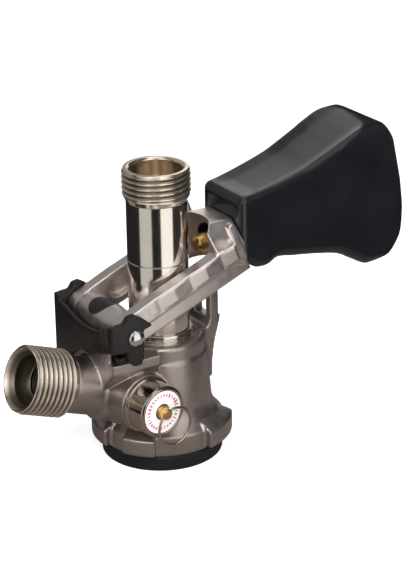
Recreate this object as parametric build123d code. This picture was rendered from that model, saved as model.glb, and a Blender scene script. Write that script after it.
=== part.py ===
"""Keg coupler with a pull-out lever grip, modelled as separate pieces in millimetres.

Frame: origin at the centre of the base seal's bottom face, +Z up along the probe, +X towards the lever grip.
The gas inlet points to -X and the relief valve to -Y. The lever stands raised and the grip is let go.
"""
from build123d import *
import math
import os

# ---- fits -------------------------------------------------------------------------------------------------
RUN = 0.05            # radial clearance of a sliding or turning fit
SEAT = 0.02           # radial clearance of a pressed or screwed fit
GAP = 0.3             # clearance beside a moving flat face

# ---- body -------------------------------------------------------------------------------------------------
SEAL_R = 20.4
SEAL_H = 5.4
SEAL_BORE = 13.0
SEAL_LIP_R = 16.0
SEAL_LIP_H = 3.0
SKIRT_R = 21.0
SKIRT_TOP = 12.4
WAIST_R = 16.8
WAIST_Z = 21.0
CHAMBER_R = 13.6
CHAMBER_TOP = 27.0
BODY_TOP = 42.0
BODY_TOP_R = 15.0
BAND_Z = 36.5
BAND_DEPTH = 0.45
LUG_R = 23.8
LUG_BOTTOM = 6.4
LUG_TOP = 12.3
LUGS = ((-141, 28), (-53, 50), (37, 28), (167, 38))     # direction and width of each lug, degrees

# ---- probe ------------------------------------------------------------------------------------------------
PROBE_R = 10.1
PROBE_BOTTOM = 2.4
PROBE_STEP_Z = 25.0
PROBE_LOW_R = 8.6
PROBE_BORE = 5.5
JOINT_Z = 68.4
SPOUT_TOP = 100.1
THREAD_R = 11.455
SPOUT_THREAD = 8.5
SPOUT_RUNOUT = 2.6
SPOUT_MOUTH_R = 8.8
SPOUT_MOUTH_DEPTH = 12.0
SPOUT_BORE = 6.6
SPIGOT_R = 9.0
ORING_RISE = 2.2
ORING_GROOVE = 1.1
SPIGOT_L = 5.4
TRUNNION_R = 3.0
TRUNNION_TIP = 13.8
TRUNNION_SINK = 3.2
BALL_R = 4.8
BALL_SEAT_R = 3.8
BALL_SEAT_Z = 28.0
BALL_FLOAT = 3.0
FOOT_H = 4.9
FOOT_DROP = 0.8
FOOT_FLARE = 1.1

# ---- glands round the probe -------------------------------------------------------------------------------
RING_MEAN_R = 11.2
RING_WIRE_R = 0.9
RING_ZS = (32.2, 36.2)
NUT_R = 11.2
NUT_FOOT_R = 12.25
NUT_FOOT_H = 3.2
NUT_RISE = 2.4

# ---- gas inlet --------------------------------------------------------------------------------------------
GAS_Z = 19.3
GAS_TILT = 19.5
GAS_REACH = 55.6
GAS_THREAD = 14.6
GAS_RUNOUT = 1.6
NECK_R = 9.5
HUB_R = 11.0
HUB_END = 27.0
GAS_MOUTH_R = 10.2
GAS_SOCKET_R = 7.95
GAS_SOCKET_DEPTH = 17.0
GAS_SEAT_CONE = 2.6
GAS_WAY_R = 4.0
VALVE_SEAT_DEPTH = 7.0
VALVE_SEAT_T = 1.6
VALVE_SEAT_BORE = 5.6

# ---- relief valve -----------------------------------------------------------------------------------------
RELIEF_FACE = (-14.65, -26.0, 26.3)
RELIEF_YAW = 7.0
RELIEF_R = 8.7
RELIEF_L = 7.9
RELIEF_FLANGE_R = 9.4
RELIEF_FLANGE_T = 1.2
RELIEF_SPIGOT_R = 6.4
RELIEF_SPIGOT_L = 5.0
RELIEF_CHAMBER_R = 5.2
RELIEF_WALL = 1.6
BOSS_R = 9.7
LABEL_R = 7.3
LABEL_T = 0.4
STEM_R = 2.3
STEM_OUT = 2.6
STEM_FLAT = 3.2
STEM_HOLE_R = 0.75
STEM_HOLE_S = 1.5
SEAT_WASHER_T = 1.2
RELIEF_WAY_R = 2.2
POPPET_R = 3.9
POPPET_T = 1.5
PULL_R = 6.4
PULL_WIRE_R = 0.45
PULL_HANG = 32.0

# ---- hinge ------------------------------------------------------------------------------------------------
PIVOT_X = -20.3
PIVOT_Z = 51.5
PIN_R = 2.4
EAR_IN = 16.3
EAR_OUT = 19.5
EAR_FRONT = 3.1
EAR_TOP = 7.6
BEAK = 6.0
FLOOR_Z = 41.6
FLOOR_T = 2.6
FLOOR_FROM_X = -25.1
FLOOR_TO_X = -16.0
WALL_X = -29.0
WALL_T = 1.8
WALL_SAG_Z = 51.2
WALL_EAR_Z = 56.2
WALL_LOW_NEAR = 47.6
WALL_LOW_MID = 41.5
WALL_LOW_FAR = 34.7
PEDESTAL_SIDE_Z = 38.0
PEDESTAL_LOW_Z = 29.5
PEDESTAL_LOW_HALF = 7.5
UPSTAND_T = 1.7
UPSTAND_Z = 46.2
HEAD_R = 2.85
HEAD_L = 1.7
CLIP_R = 4.0
CLIP_T = 0.8
SCREW_Y = 9.0
SCREW_X = -21.5
SCREW_R = 2.0
SCREW_HEAD_R = 3.3
SCREW_HEAD_H = 1.6
SCREW_SINK = 1.0
SCREW_L = 8.0

# ---- lever (local: u along the arms from the pivot, w up, y across) -----------------------------------------
LEVER_TILT = 21.5
ARM_IN = 11.5
ARM_OUT = 16.0
ARM_LOW_OUT = 15.2
ARM_TOP = 6.0
ARM_LOW = 5.8
ARM_TAPER_U = 12.0
ARM_END_R = 5.5
BARREL_R = 6.3
BARREL_END_R = 5.0
THROAT_U = 34.0
FLANGE_T = 2.6
RIB_TOP = 13.0
RIB_LOW = -1.0
RIB_IN = 13.0
CROWN_Z = 79.2
CROWN_FLAT = 7.0
CROWN_SIDE = 15.5
CROWN_SIDE_Z = 72.5
CROWN_LOW_Z = 66.0
CROWN_BACK_X = 13.0
SLOT_HALF = 3.4
SLOT_START = 9.0
SLOT_END = 31.0
SLOT_DEPTH = 2.7
PAD_RISE = 0.3
PAD_US = (14.0, 20.5, 27.0, 33.5, 40.0)
PAD_L = 5.6

# ---- grip and latch (local: p along the bolt, q up, y across) ------------------------------------------------
GRIP_X = 25.5
GRIP_Z = 76.0
GRIP_TILT = 12.0
GRIP_FRONT_X = 24.8
BOLT_Q = -4.3
BOLT_R = 3.25
BOLT_TIP = -12.6
BOLT_NOSE = 1.2
COLLAR_P = -0.6
COLLAR_R = 4.3
COLLAR_T = 1.6
ROD_R = 2.5
ROD_END = 40.0
POCKET_R = 5.9
POCKET_END = -3.0
GUIDE_R = 6.1
GUIDE_BORE = 4.6
GUIDE_END = 22.0
BUSH_L = 4.0
GRIP_PIN_P = 35.0
GRIP_PIN_R = 1.5
GRIP_PIN_L = 22.0
GRIP_PULL = 6.5
SPRING_WIRE = 0.45

# ---- catch tower --------------------------------------------------------------------------------------------
TOWER_HALF = 6.4
TOWER_RIB_HALF = 3.0
TOWER_SLOT = BOLT_R + 0.4
TOWER_TOP = 60.0
TOWER_SLOT_Z = 45.0
TOWER_BACK_X = 15.8
TOWER_FRONT_X = 19.3
TOWER_BULGE_X = 23.6
TOWER_BULGE_Z = 40.7

FLANGE_IN = THROAT_U + ARM_IN
FLANGE_OUT = FLANGE_IN + FLANGE_T
THROUGH = 80.0        # length of a cut that goes right through

LEVER = Pos(PIVOT_X, 0, PIVOT_Z) * Rot(0, -LEVER_TILT, 0)
GRIP = Pos(GRIP_X, 0, GRIP_Z) * Rot(0, -GRIP_TILT, 0)
BOLT = GRIP * Pos(0, 0, BOLT_Q) * Rot(0, 90, 0)
GAS = Pos(0, 0, GAS_Z) * Rot(0, GAS_TILT - 90, 0)
RELIEF = Pos(*RELIEF_FACE) * Rot(0, 0, RELIEF_YAW) * Rot(90, 0, 0)
SCREW_SEAT_Z = FLOOR_Z + FLOOR_T - SCREW_SINK
TRUNNION_Z = PIVOT_Z - PIVOT_X * math.tan(math.radians(LEVER_TILT))


def rod(radius, start, end):
    """A round bar along local Z."""
    return Pos(0, 0, (start + end) / 2) * Cylinder(radius, end - start)


def pipe(outer, inner, start, end):
    """A round tube along local Z."""
    return rod(outer, start, end) - rod(inner, start - 1, end + 1)


def cone(r_start, r_end, start, end):
    """A truncated cone along local Z."""
    return Pos(0, 0, (start + end) / 2) * Cone(r_start, r_end, end - start)


def turned(points):
    """A solid turned about Z from its half section (radius, height)."""
    outline = Polyline(*[(r, 0, z) for r, z in points], close=True)
    return revolve(make_face(outline), Axis.Z)


def plate(points, y_from, y_to):
    """A flat plate with the outline (x, z), between two y values."""
    outline = Polyline(*[(x, y_from, z) for x, z in points], close=True)
    return extrude(make_face(outline), amount=y_to - y_from, dir=(0, 1, 0))


def block(x, y, z):
    """A box given by its low and high ends along each axis."""
    centre = Pos((x[0] + x[1]) / 2, (y[0] + y[1]) / 2, (z[0] + z[1]) / 2)
    return centre * Box(x[1] - x[0], y[1] - y[0], z[1] - z[0])


def coil(mean_r, wire_r, length, turns):
    """An open coil along local Z."""
    path = Helix(pitch=length / turns, height=length, radius=mean_r)
    section = Plane(origin=path @ 0, z_dir=path % 0) * Circle(wire_r)
    return sweep(section, path=path)


def save(name, shape):
    export_step(shape, "parts/" + name + ".step")


# ---- body ---------------------------------------------------------------------------------------------------
def flare(low, high):
    """An arc between two (radius, height) points that ends upright at the upper one."""
    out, rise = low[0] - high[0], high[1] - low[1]
    r = (out ** 2 + rise ** 2) / (2 * out)
    half_turn = math.asin(rise / r) / 2
    middle = (high[0] + r * (1 - math.cos(half_turn)), 0, high[1] - r * math.sin(half_turn))
    return ThreePointArc((low[0], 0, low[1]), middle, (high[0], 0, high[1]))


def skirt_and_barrel():
    """The turned outside of the casting: skirt, flared waist, band and straight top."""
    foot = Polyline((0, 0, SEAL_H), (SKIRT_R - 0.6, 0, SEAL_H), (SKIRT_R, 0, SEAL_H + 0.6), (SKIRT_R, 0, SKIRT_TOP))
    barrel = Polyline(
        (WAIST_R, 0, WAIST_Z), (BODY_TOP_R + BAND_DEPTH, 0, BAND_Z - 0.5), (BODY_TOP_R, 0, BAND_Z),
        (BODY_TOP_R, 0, BODY_TOP - 0.8), (BODY_TOP_R - 0.8, 0, BODY_TOP), (0, 0, BODY_TOP), (0, 0, SEAL_H),
    )
    return revolve(make_face([foot, flare((SKIRT_R, SKIRT_TOP), (WAIST_R, WAIST_Z)), barrel]), Axis.Z)


def bayonet_lugs():
    """The lugs that turn under the keg neck's rim."""
    root = SKIRT_R - 3
    ring = turned([
        (root, LUG_BOTTOM), (LUG_R - 0.7, LUG_BOTTOM), (LUG_R, LUG_BOTTOM + 0.7), (LUG_R, LUG_TOP),
        (root, LUG_TOP + (LUG_R - root) / 2),
    ])
    lugs = []
    for direction, width in LUGS:
        reach = LUG_R * 1.3
        side = reach * math.tan(math.radians(width / 2))
        sector = extrude(make_face(Polyline((0, 0), (reach, -side), (reach, side), close=True)), amount=LUG_TOP * 2)
        lugs.append(Rot(0, 0, direction) * (ring & sector))
    return lugs


def gas_neck():
    """The inlet neck, its hub on the body and the plain major diameter of its thread."""
    thread_from = GAS_REACH - GAS_THREAD
    parts = [
        rod(HUB_R, 4, HUB_END - 1.5),
        cone(HUB_R, NECK_R, HUB_END - 1.5, HUB_END),
        rod(NECK_R, HUB_END, thread_from),
        cone(NECK_R, THREAD_R, thread_from - GAS_RUNOUT, thread_from),
        rod(THREAD_R, thread_from, GAS_REACH - 0.9),
        cone(THREAD_R, THREAD_R - 0.9, GAS_REACH - 0.9, GAS_REACH),
    ]
    return [GAS * p for p in parts]


def gas_way():
    """What is bored out of the inlet: mouth cone, valve socket and way to the chamber."""
    socket_from = GAS_REACH - GAS_SOCKET_DEPTH
    return [
        GAS * cone(GAS_SOCKET_R, GAS_MOUTH_R, GAS_REACH - GAS_SEAT_CONE, GAS_REACH),
        GAS * rod(GAS_SOCKET_R, socket_from, GAS_REACH),
        GAS * rod(GAS_WAY_R, 8, GAS_REACH),
    ]


def relief_boss():
    """The boss that the relief valve screws into."""
    back = -RELIEF_L - RELIEF_FLANGE_T
    return RELIEF * rod(BOSS_R, -24, back)


def relief_way():
    """The tapped socket of the relief valve and its way into the gas neck."""
    back = -RELIEF_L - RELIEF_FLANGE_T
    floor = back - RELIEF_SPIGOT_L - SEAT_WASHER_T
    return [RELIEF * rod(RELIEF_SPIGOT_R + SEAT, floor, 0), RELIEF * rod(RELIEF_WAY_R, -27, 0)]


def hinge_pedestal():
    """The cast block under the hinge bracket, drawn in towards the gas neck, with a low upstand at its edge."""
    half = EAR_IN - GAP
    back = WALL_X + WALL_T + GAP / 2
    outline = Polyline(
        (back, -half, FLOOR_Z), (back, -half, PEDESTAL_SIDE_Z), (back, -PEDESTAL_LOW_HALF, PEDESTAL_LOW_Z),
        (back, PEDESTAL_LOW_HALF, PEDESTAL_LOW_Z), (back, half, PEDESTAL_SIDE_Z), (back, half, FLOOR_Z), close=True,
    )
    rough = extrude(make_face(outline), amount=BODY_TOP_R * -0.6 - back, dir=(1, 0, 0))
    upstand = block((back, back + UPSTAND_T), (-half + 3.0, 4.0), (FLOOR_Z - 1, UPSTAND_Z))
    return rough + fillet(upstand.edges().filter_by(Axis.X).group_by(Axis.Z)[-1], 1.5)


def catch_tower():
    """The forked tower that the latch bolt drops into when the lever is down, on a bulged foot with a rib."""
    foot = [
        (10, 24), (BODY_TOP_R + 1.2, 24), (TOWER_FRONT_X + 1.0, 28.4), (TOWER_BULGE_X - 2.5, 30.8),
        (TOWER_BULGE_X, TOWER_BULGE_Z), (TOWER_FRONT_X, TOWER_BULGE_Z + 3.0), (TOWER_FRONT_X, TOWER_SLOT_Z),
        (TOWER_BACK_X, TOWER_SLOT_Z), (BODY_TOP_R - 0.2, BODY_TOP), (10, BODY_TOP),
    ]
    rib = [
        (TOWER_FRONT_X - 2, TOWER_BULGE_Z - 5), (TOWER_BULGE_X - 1, TOWER_BULGE_Z - 5), (TOWER_BULGE_X, TOWER_BULGE_Z),
        (TOWER_BULGE_X + 0.2, TOWER_BULGE_Z + 2.4), (TOWER_BULGE_X - 0.6, TOWER_BULGE_Z + 3.2),
        (TOWER_FRONT_X - 2, TOWER_BULGE_Z + 3.2),
    ]
    prongs = block((TOWER_BACK_X, TOWER_FRONT_X), (-TOWER_HALF, TOWER_HALF), (TOWER_SLOT_Z - 1, TOWER_TOP))
    prongs = chamfer(prongs.edges().filter_by(Axis.Y).group_by(Axis.Z)[-1], 0.9)
    prongs -= block((0, 40), (-TOWER_SLOT, TOWER_SLOT), (TOWER_SLOT_Z, TOWER_TOP + 5))
    return plate(foot, -TOWER_HALF, TOWER_HALF) + plate(rib, -TOWER_RIB_HALF, TOWER_RIB_HALF) + prongs


def body_housing():
    body = skirt_and_barrel()
    for piece in bayonet_lugs() + gas_neck() + [relief_boss(), hinge_pedestal(), catch_tower()]:
        body += piece
    lip = SEAL_LIP_R + SEAT
    body -= rod(CHAMBER_R, 0, CHAMBER_TOP)
    body -= rod(lip, 0, SEAL_H + SEAL_LIP_H)
    body -= rod(PROBE_R + RUN, 20, BODY_TOP + 1)
    body -= rod(NUT_FOOT_R + SEAT, BODY_TOP - NUT_FOOT_H, BODY_TOP + 30)
    for z in RING_ZS:
        body -= rod(RING_MEAN_R + RING_WIRE_R + SEAT, z - RING_WIRE_R - 0.1, z + RING_WIRE_R + 0.1)
    for way in gas_way() + relief_way():
        body -= way
    for y in (-SCREW_Y, SCREW_Y):
        body -= Pos(SCREW_X, y, 0) * rod(SCREW_R + SEAT, SCREW_SEAT_Z - SCREW_L, FLOOR_Z)
    return body


def base_seal():
    seal = turned([
        (SEAL_BORE, 0), (SEAL_R - 1.2, 0), (SEAL_R, 1.2), (SEAL_R, SEAL_H), (SEAL_LIP_R, SEAL_H),
        (SEAL_LIP_R, SEAL_H + SEAL_LIP_H), (CHAMBER_R, SEAL_H + SEAL_LIP_H), (SEAL_BORE, SEAL_H),
    ])
    return seal


def gland_nut():
    return turned([
        (PROBE_R + 0.1, BODY_TOP - NUT_FOOT_H), (NUT_FOOT_R, BODY_TOP - NUT_FOOT_H), (NUT_FOOT_R, BODY_TOP),
        (NUT_R, BODY_TOP), (NUT_R, BODY_TOP + 0.7), (NUT_R - 0.35, BODY_TOP + 0.9),
        (NUT_R - 0.35, BODY_TOP + 1.3), (NUT_R, BODY_TOP + 1.5), (NUT_R - 0.3, BODY_TOP + NUT_RISE),
        (PROBE_R + 0.1, BODY_TOP + NUT_RISE),
    ])


def gland_orings():
    rings = [Pos(0, 0, z) * Torus(RING_MEAN_R, RING_WIRE_R) for z in RING_ZS]
    return Compound(children=rings)


# ---- gas check valve ----------------------------------------------------------------------------------------
def gas_valve_seat():
    top = GAS_REACH - VALVE_SEAT_DEPTH
    ring = pipe(GAS_SOCKET_R - SEAT, VALVE_SEAT_BORE, top - VALVE_SEAT_T, top)
    return GAS * ring


def gas_check_valve():
    """A rubber valve: a flange under the seat ring and a dome that opens inward."""
    top = GAS_REACH - VALVE_SEAT_DEPTH - VALVE_SEAT_T
    floor = GAS_REACH - GAS_SOCKET_DEPTH
    return GAS * turned([
        (0.8, floor + 1.6), (2.6, floor + 0.3), (4.4, floor + 1.2), (5.4, floor + 4.0),
        (5.4, top - 1.6), (GAS_SOCKET_R - SEAT, top - 1.6), (GAS_SOCKET_R - SEAT, top), (4.4, top),
        (4.4, floor + 4.2), (3.6, floor + 2.4), (2.6, floor + 1.8), (0.8, floor + 2.8),
    ])


# ---- hinge --------------------------------------------------------------------------------------------------
def bracket_ear(side):
    """One ear: an upright strap round the pin with a pointed beak over the arm, and its side panel to the wall."""
    x, z = PIVOT_X, PIVOT_Z
    outline = [
        (WALL_X, WALL_EAR_Z), (x - 3.6, z + 5.2), (x - 2.2, z + EAR_TOP - 0.4), (x + 0.2, z + EAR_TOP),
        (x + 2.6, z + EAR_TOP - 1.4), (x + BEAK, z + 3.4), (x + BEAK, z + 2.8), (x + EAR_FRONT, z + 1.9),
        (x + EAR_FRONT, z - 7.6), (x + EAR_FRONT - 1.2, FLOOR_Z), (x - EAR_FRONT + 2.3, FLOOR_Z),
        (x - EAR_FRONT + 0.3, FLOOR_Z + 1.9), (x - EAR_FRONT, WALL_LOW_NEAR - 0.7), (WALL_X, WALL_LOW_NEAR - 0.3),
    ]
    low, high = sorted((side * EAR_IN, side * EAR_OUT))
    return plate(outline, low, high)


def far_cheek():
    """The far panel below its ear, which reaches down beside the gas neck."""
    outline = [
        (WALL_X, WALL_LOW_NEAR), (WALL_X, WALL_LOW_FAR), (FLOOR_FROM_X - 0.4, WALL_LOW_FAR),
        (FLOOR_FROM_X + 1.8, WALL_LOW_FAR - 1.8), (PIVOT_X - EAR_FRONT, FLOOR_Z), (PIVOT_X, FLOOR_Z + FLOOR_T),
        (PIVOT_X, WALL_LOW_NEAR),
    ]
    return plate(outline, EAR_IN, EAR_OUT)


def bracket_wall():
    """The wall between the ears: a dipped top edge, and a lower edge that steps down on the far side."""
    edge = EAR_OUT
    top = ThreePointArc((WALL_X, -edge, WALL_EAR_Z), (WALL_X, 0, WALL_SAG_Z), (WALL_X, edge, WALL_EAR_Z))
    rest = Polyline(
        (WALL_X, edge, WALL_EAR_Z), (WALL_X, edge, WALL_LOW_FAR), (WALL_X, 13.0, WALL_LOW_FAR),
        (WALL_X, 8.7, WALL_LOW_FAR + 3.6), (WALL_X, 2.2, WALL_LOW_MID), (WALL_X, -4.0, WALL_LOW_MID + 0.8),
        (WALL_X, -edge, WALL_LOW_NEAR), (WALL_X, -edge, WALL_EAR_Z),
    )
    wall = extrude(make_face([top, rest]), amount=WALL_T, dir=(1, 0, 0))
    for shift in (0, 2.6):
        rib = Pos(WALL_X, shift - edge + 4.2, (WALL_LOW_NEAR + WALL_EAR_Z) / 2) * Rot(-14, 0, 0) * Box(1.4, 1.3, 5.2)
        wall += rib
    return wall


def hinge_bracket():
    bracket = bracket_wall() + bracket_ear(-1) + bracket_ear(1) + far_cheek()
    bracket += block((FLOOR_FROM_X, FLOOR_TO_X), (-EAR_IN - 0.4, EAR_IN + 0.4), (FLOOR_Z, FLOOR_Z + FLOOR_T))
    bracket -= Pos(PIVOT_X, 0, PIVOT_Z) * Rot(90, 0, 0) * Cylinder(PIN_R + RUN, THROUGH)
    for y in (-SCREW_Y, SCREW_Y):
        bracket -= Pos(SCREW_X, y, 0) * rod(SCREW_R + 0.1, FLOOR_Z - 1, SCREW_SEAT_Z + 1)
        bracket -= Pos(SCREW_X, y, 0) * rod(SCREW_HEAD_R + 0.15, SCREW_SEAT_Z, SCREW_SEAT_Z + SCREW_HEAD_H + 1)
    return bracket


def bracket_screws():
    screws = []
    for y in (-SCREW_Y, SCREW_Y):
        shank = rod(SCREW_R, SCREW_SEAT_Z - SCREW_L + 0.4, SCREW_SEAT_Z + 0.2)
        head = cone(SCREW_HEAD_R, SCREW_HEAD_R - 0.9, SCREW_SEAT_Z, SCREW_SEAT_Z + SCREW_HEAD_H)
        socket = Pos(0, 0, SCREW_SEAT_Z + SCREW_HEAD_H) * extrude(RegularPolygon(1.3, 6), amount=-1.0)
        screws.append(Pos(SCREW_X, y, 0) * (shank + head - socket))
    return Compound(children=screws)


def hinge_pin():
    tail = EAR_OUT + CLIP_T + 0.9
    pin = rod(PIN_R, -tail, EAR_OUT + 0.2)
    head = turned([(0, EAR_OUT), (HEAD_R, EAR_OUT), (HEAD_R, EAR_OUT + HEAD_L * 0.3),
                   (HEAD_R * 0.85, EAR_OUT + HEAD_L * 0.65), (HEAD_R * 0.5, EAR_OUT + HEAD_L * 0.92),
                   (0, EAR_OUT + HEAD_L)])
    groove = pipe(PIN_R + 1, PIN_R - 0.6, -EAR_OUT - CLIP_T - 0.1, -EAR_OUT - 0.1)
    return Pos(PIVOT_X, 0, PIVOT_Z) * Rot(90, 0, 0) * (pin + head - groove)


def pin_clip():
    ring = pipe(CLIP_R, PIN_R - 0.6 + SEAT, -EAR_OUT - CLIP_T - 0.05, -EAR_OUT - 0.15)
    ring -= block((0, CLIP_R + 1), (-1.4, 1.4), (-EAR_OUT - CLIP_T - 2, -EAR_OUT + 1))
    return Pos(PIVOT_X, 0, PIVOT_Z) * Rot(90, 0, 0) * ring


# ---- lever --------------------------------------------------------------------------------------------------
def arm(side):
    """One arm: rounded at the pivot, deeper towards the throat, and proud in its upper half."""
    low, high = sorted((side * ARM_IN, side * ARM_OUT))
    outline = [(0, -ARM_END_R), (ARM_TAPER_U, -ARM_LOW), (FLANGE_IN, -ARM_LOW), (FLANGE_IN, ARM_TOP),
               (ARM_TAPER_U, ARM_TOP), (0, ARM_END_R)]
    body = plate(outline, low, high)
    body += Pos(0, (low + high) / 2, 0) * Rot(90, 0, 0) * Cylinder(ARM_END_R, high - low)
    low, high = sorted((side * ARM_LOW_OUT, side * (ARM_OUT + 1)))
    body -= block((-ARM_END_R * 2, FLANGE_OUT + 1), (low, high), (-ARM_END_R * 2, -0.6))
    return body + arm_pads(side)


def arm_pads(side):
    """The row of shallow slanted pads along an arm's upper half."""
    root = side * (ARM_OUT - 1)
    row = [(PAD_US[0] - PAD_L / 2, root)]
    for u in PAD_US:
        row += [(u - PAD_L / 2, side * ARM_OUT), (u + PAD_L / 2, side * (ARM_OUT + PAD_RISE))]
    row.append((PAD_US[-1] + PAD_L / 2, root))
    return Pos(0, 0, 0.5) * extrude(make_face(Polyline(*row, close=True)), amount=ARM_TOP - 1.2, dir=(0, 0, 1))


def trunnion_slot(side):
    """The slot inside an arm that carries a trunnion pin."""
    low, high = sorted((side * (ARM_IN - 1), side * (ARM_IN + SLOT_DEPTH)))
    slot = block((SLOT_START + SLOT_HALF, SLOT_END - SLOT_HALF), (low, high), (-SLOT_HALF, SLOT_HALF))
    for u in (SLOT_START + SLOT_HALF, SLOT_END - SLOT_HALF):
        slot += Pos(u, (low + high) / 2, 0) * Rot(90, 0, 0) * Cylinder(SLOT_HALF, high - low)
    return slot


def pivot_barrel():
    """The crowned barrel between the arms at the hinge."""
    side = ARM_IN + 1
    crown = ThreePointArc((-side, BARREL_END_R), (0, BARREL_R), (side, BARREL_END_R))
    rest = Polyline((side, BARREL_END_R), (side, 0), (-side, 0), (-side, BARREL_END_R))
    turned_barrel = revolve(make_face([crown, rest]), Axis.X)
    return Rot(0, 0, 90) * turned_barrel


def throat():
    """The open space between the arms that the probe passes through."""
    return Pos(THROAT_U, 0, 0) * Cylinder(ARM_IN, THROUGH) + block((0, THROAT_U), (-ARM_IN, ARM_IN), (-40, 40))


def front_block():
    """The block that closes the throat, with a rib on each side against the grip."""
    front = block((THROAT_U, FLANGE_OUT), (-ARM_LOW_OUT, ARM_LOW_OUT), (-ARM_LOW, ARM_TOP))
    for side in (-1, 1):
        low, high = sorted((side * RIB_IN, side * ARM_OUT))
        rib = block((FLANGE_IN, FLANGE_OUT), (low, high), (RIB_LOW, RIB_TOP))
        front += fillet(rib.edges().filter_by(Axis.Y).group_by(Axis.Z)[-1], 1.2)
    return front - throat()


def crown():
    """The raised head above the throat: a flat top with sloping shoulders, square to the grip's front face."""
    flank = [(CROWN_FLAT, CROWN_Z), (CROWN_SIDE, CROWN_SIDE_Z), (CROWN_SIDE, CROWN_LOW_Z)]
    points = flank + [(-y, z) for y, z in reversed(flank)]
    face = make_face(Polyline(*[(CROWN_BACK_X, y, z) for y, z in points], close=True))
    head = extrude(face, amount=GRIP_FRONT_X - GAP - CROWN_BACK_X, dir=(1, 0, 0))
    upper = [e for e in head.edges().filter_by(Axis.X) if e.center().Z > CROWN_Z - 1]
    return fillet(upper, 2.5) - LEVER * throat()


def lever_yoke():
    yoke = front_block() + arm(-1) + arm(1) + pivot_barrel()
    for side in (-1, 1):
        yoke -= trunnion_slot(side)
    yoke -= Rot(90, 0, 0) * Cylinder(PIN_R + RUN, THROUGH)
    yoke = LEVER * yoke + crown()
    yoke += BOLT * rod(GUIDE_R, POCKET_END + 0.6, GUIDE_END)
    bore = turned([(0, BOLT_TIP), (POCKET_R, BOLT_TIP), (POCKET_R, POCKET_END), (BOLT_R + RUN, POCKET_END),
                   (BOLT_R + RUN, COLLAR_P), (GUIDE_BORE, COLLAR_P), (GUIDE_BORE, GUIDE_END + 5), (0, GUIDE_END + 5)])
    return yoke - BOLT * bore


def neck_bush():
    bush = pipe(GUIDE_BORE - SEAT, ROD_R + 0.1, GUIDE_END - BUSH_L, GUIDE_END)
    return BOLT * bush


# ---- grip and latch -----------------------------------------------------------------------------------------
GRIP_SECTIONS = [
    # p, low q, high q, half width, corner radius
    (-4.0, -6.4, 9.8, 11.4, 2.6),
    (-0.6, -11.8, 10.1, 11.8, 3.0),
    (3.7, -16.2, 10.3, 12.0, 3.2),
    (7.2, -16.9, 10.2, 12.2, 3.4),
    (11.1, -16.0, 10.2, 12.4, 3.6),
    (17.9, -18.2, 10.4, 12.9, 4.0),
    (26.7, -21.4, 11.1, 13.4, 4.3),
    (35.1, -25.2, 12.8, 13.9, 4.6),
    (40.3, -29.6, 14.0, 14.3, 4.8),
    (45.3, -33.2, 15.3, 14.7, 5.0),
    (52.3, -33.4, 16.6, 15.0, 5.2),
    (58.4, -28.4, 15.9, 14.6, 5.2),
    (61.6, -19.6, 13.9, 13.4, 5.0),
    (63.9, -10.0, 10.2, 10.8, 4.6),
]


def handle_grip():
    """The moulded grip: a loft through rounded sections, faced off beside the head and bored for the neck."""
    faces = []
    for p, low, high, half, corner in GRIP_SECTIONS:
        at = Plane(origin=(p, 0, (low + high) / 2), x_dir=(0, 1, 0), z_dir=(1, 0, 0))
        faces.append(at * RectangleRounded(2 * half, high - low, corner))
    grip = GRIP * loft(faces)
    grip -= block((GRIP_FRONT_X - THROUGH, GRIP_FRONT_X), (-THROUGH, THROUGH), (0, 2 * THROUGH))
    grip -= LEVER * block((0, FLANGE_OUT + GAP), (-THROUGH, THROUGH), (-THROUGH, THROUGH))
    grip -= BOLT * rod(GUIDE_R + RUN, BOLT_TIP, GUIDE_END + 1)
    grip -= BOLT * rod(ROD_R + SEAT, 0, ROD_END + 0.5)
    grip -= BOLT * Pos(0, 0, GRIP_PIN_P) * Rot(90, 0, 0) * Cylinder(GRIP_PIN_R + SEAT, THROUGH)
    return grip


def latch_bolt():
    bolt = rod(BOLT_R, BOLT_TIP + BOLT_NOSE, COLLAR_P + 0.1)
    bolt += cone(BOLT_R - BOLT_NOSE, BOLT_R, BOLT_TIP, BOLT_TIP + BOLT_NOSE)
    bolt += rod(COLLAR_R, COLLAR_P + 0.05, COLLAR_P + 0.05 + COLLAR_T)
    bolt += rod(ROD_R, COLLAR_P, ROD_END)
    bolt -= Pos(0, 0, GRIP_PIN_P) * Rot(90, 0, 0) * Cylinder(GRIP_PIN_R + SEAT, THROUGH)
    return BOLT * bolt


def grip_pin():
    return BOLT * Pos(0, 0, GRIP_PIN_P) * Rot(90, 0, 0) * Cylinder(GRIP_PIN_R, GRIP_PIN_L)


def latch_spring():
    start = COLLAR_P + 0.1 + COLLAR_T + SPRING_WIRE
    end = GUIDE_END - BUSH_L - SPRING_WIRE - 0.05
    mean = (GUIDE_BORE + ROD_R) / 2 + 0.1
    return BOLT * Pos(0, 0, start) * coil(mean, SPRING_WIRE, end - start, 7)


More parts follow.
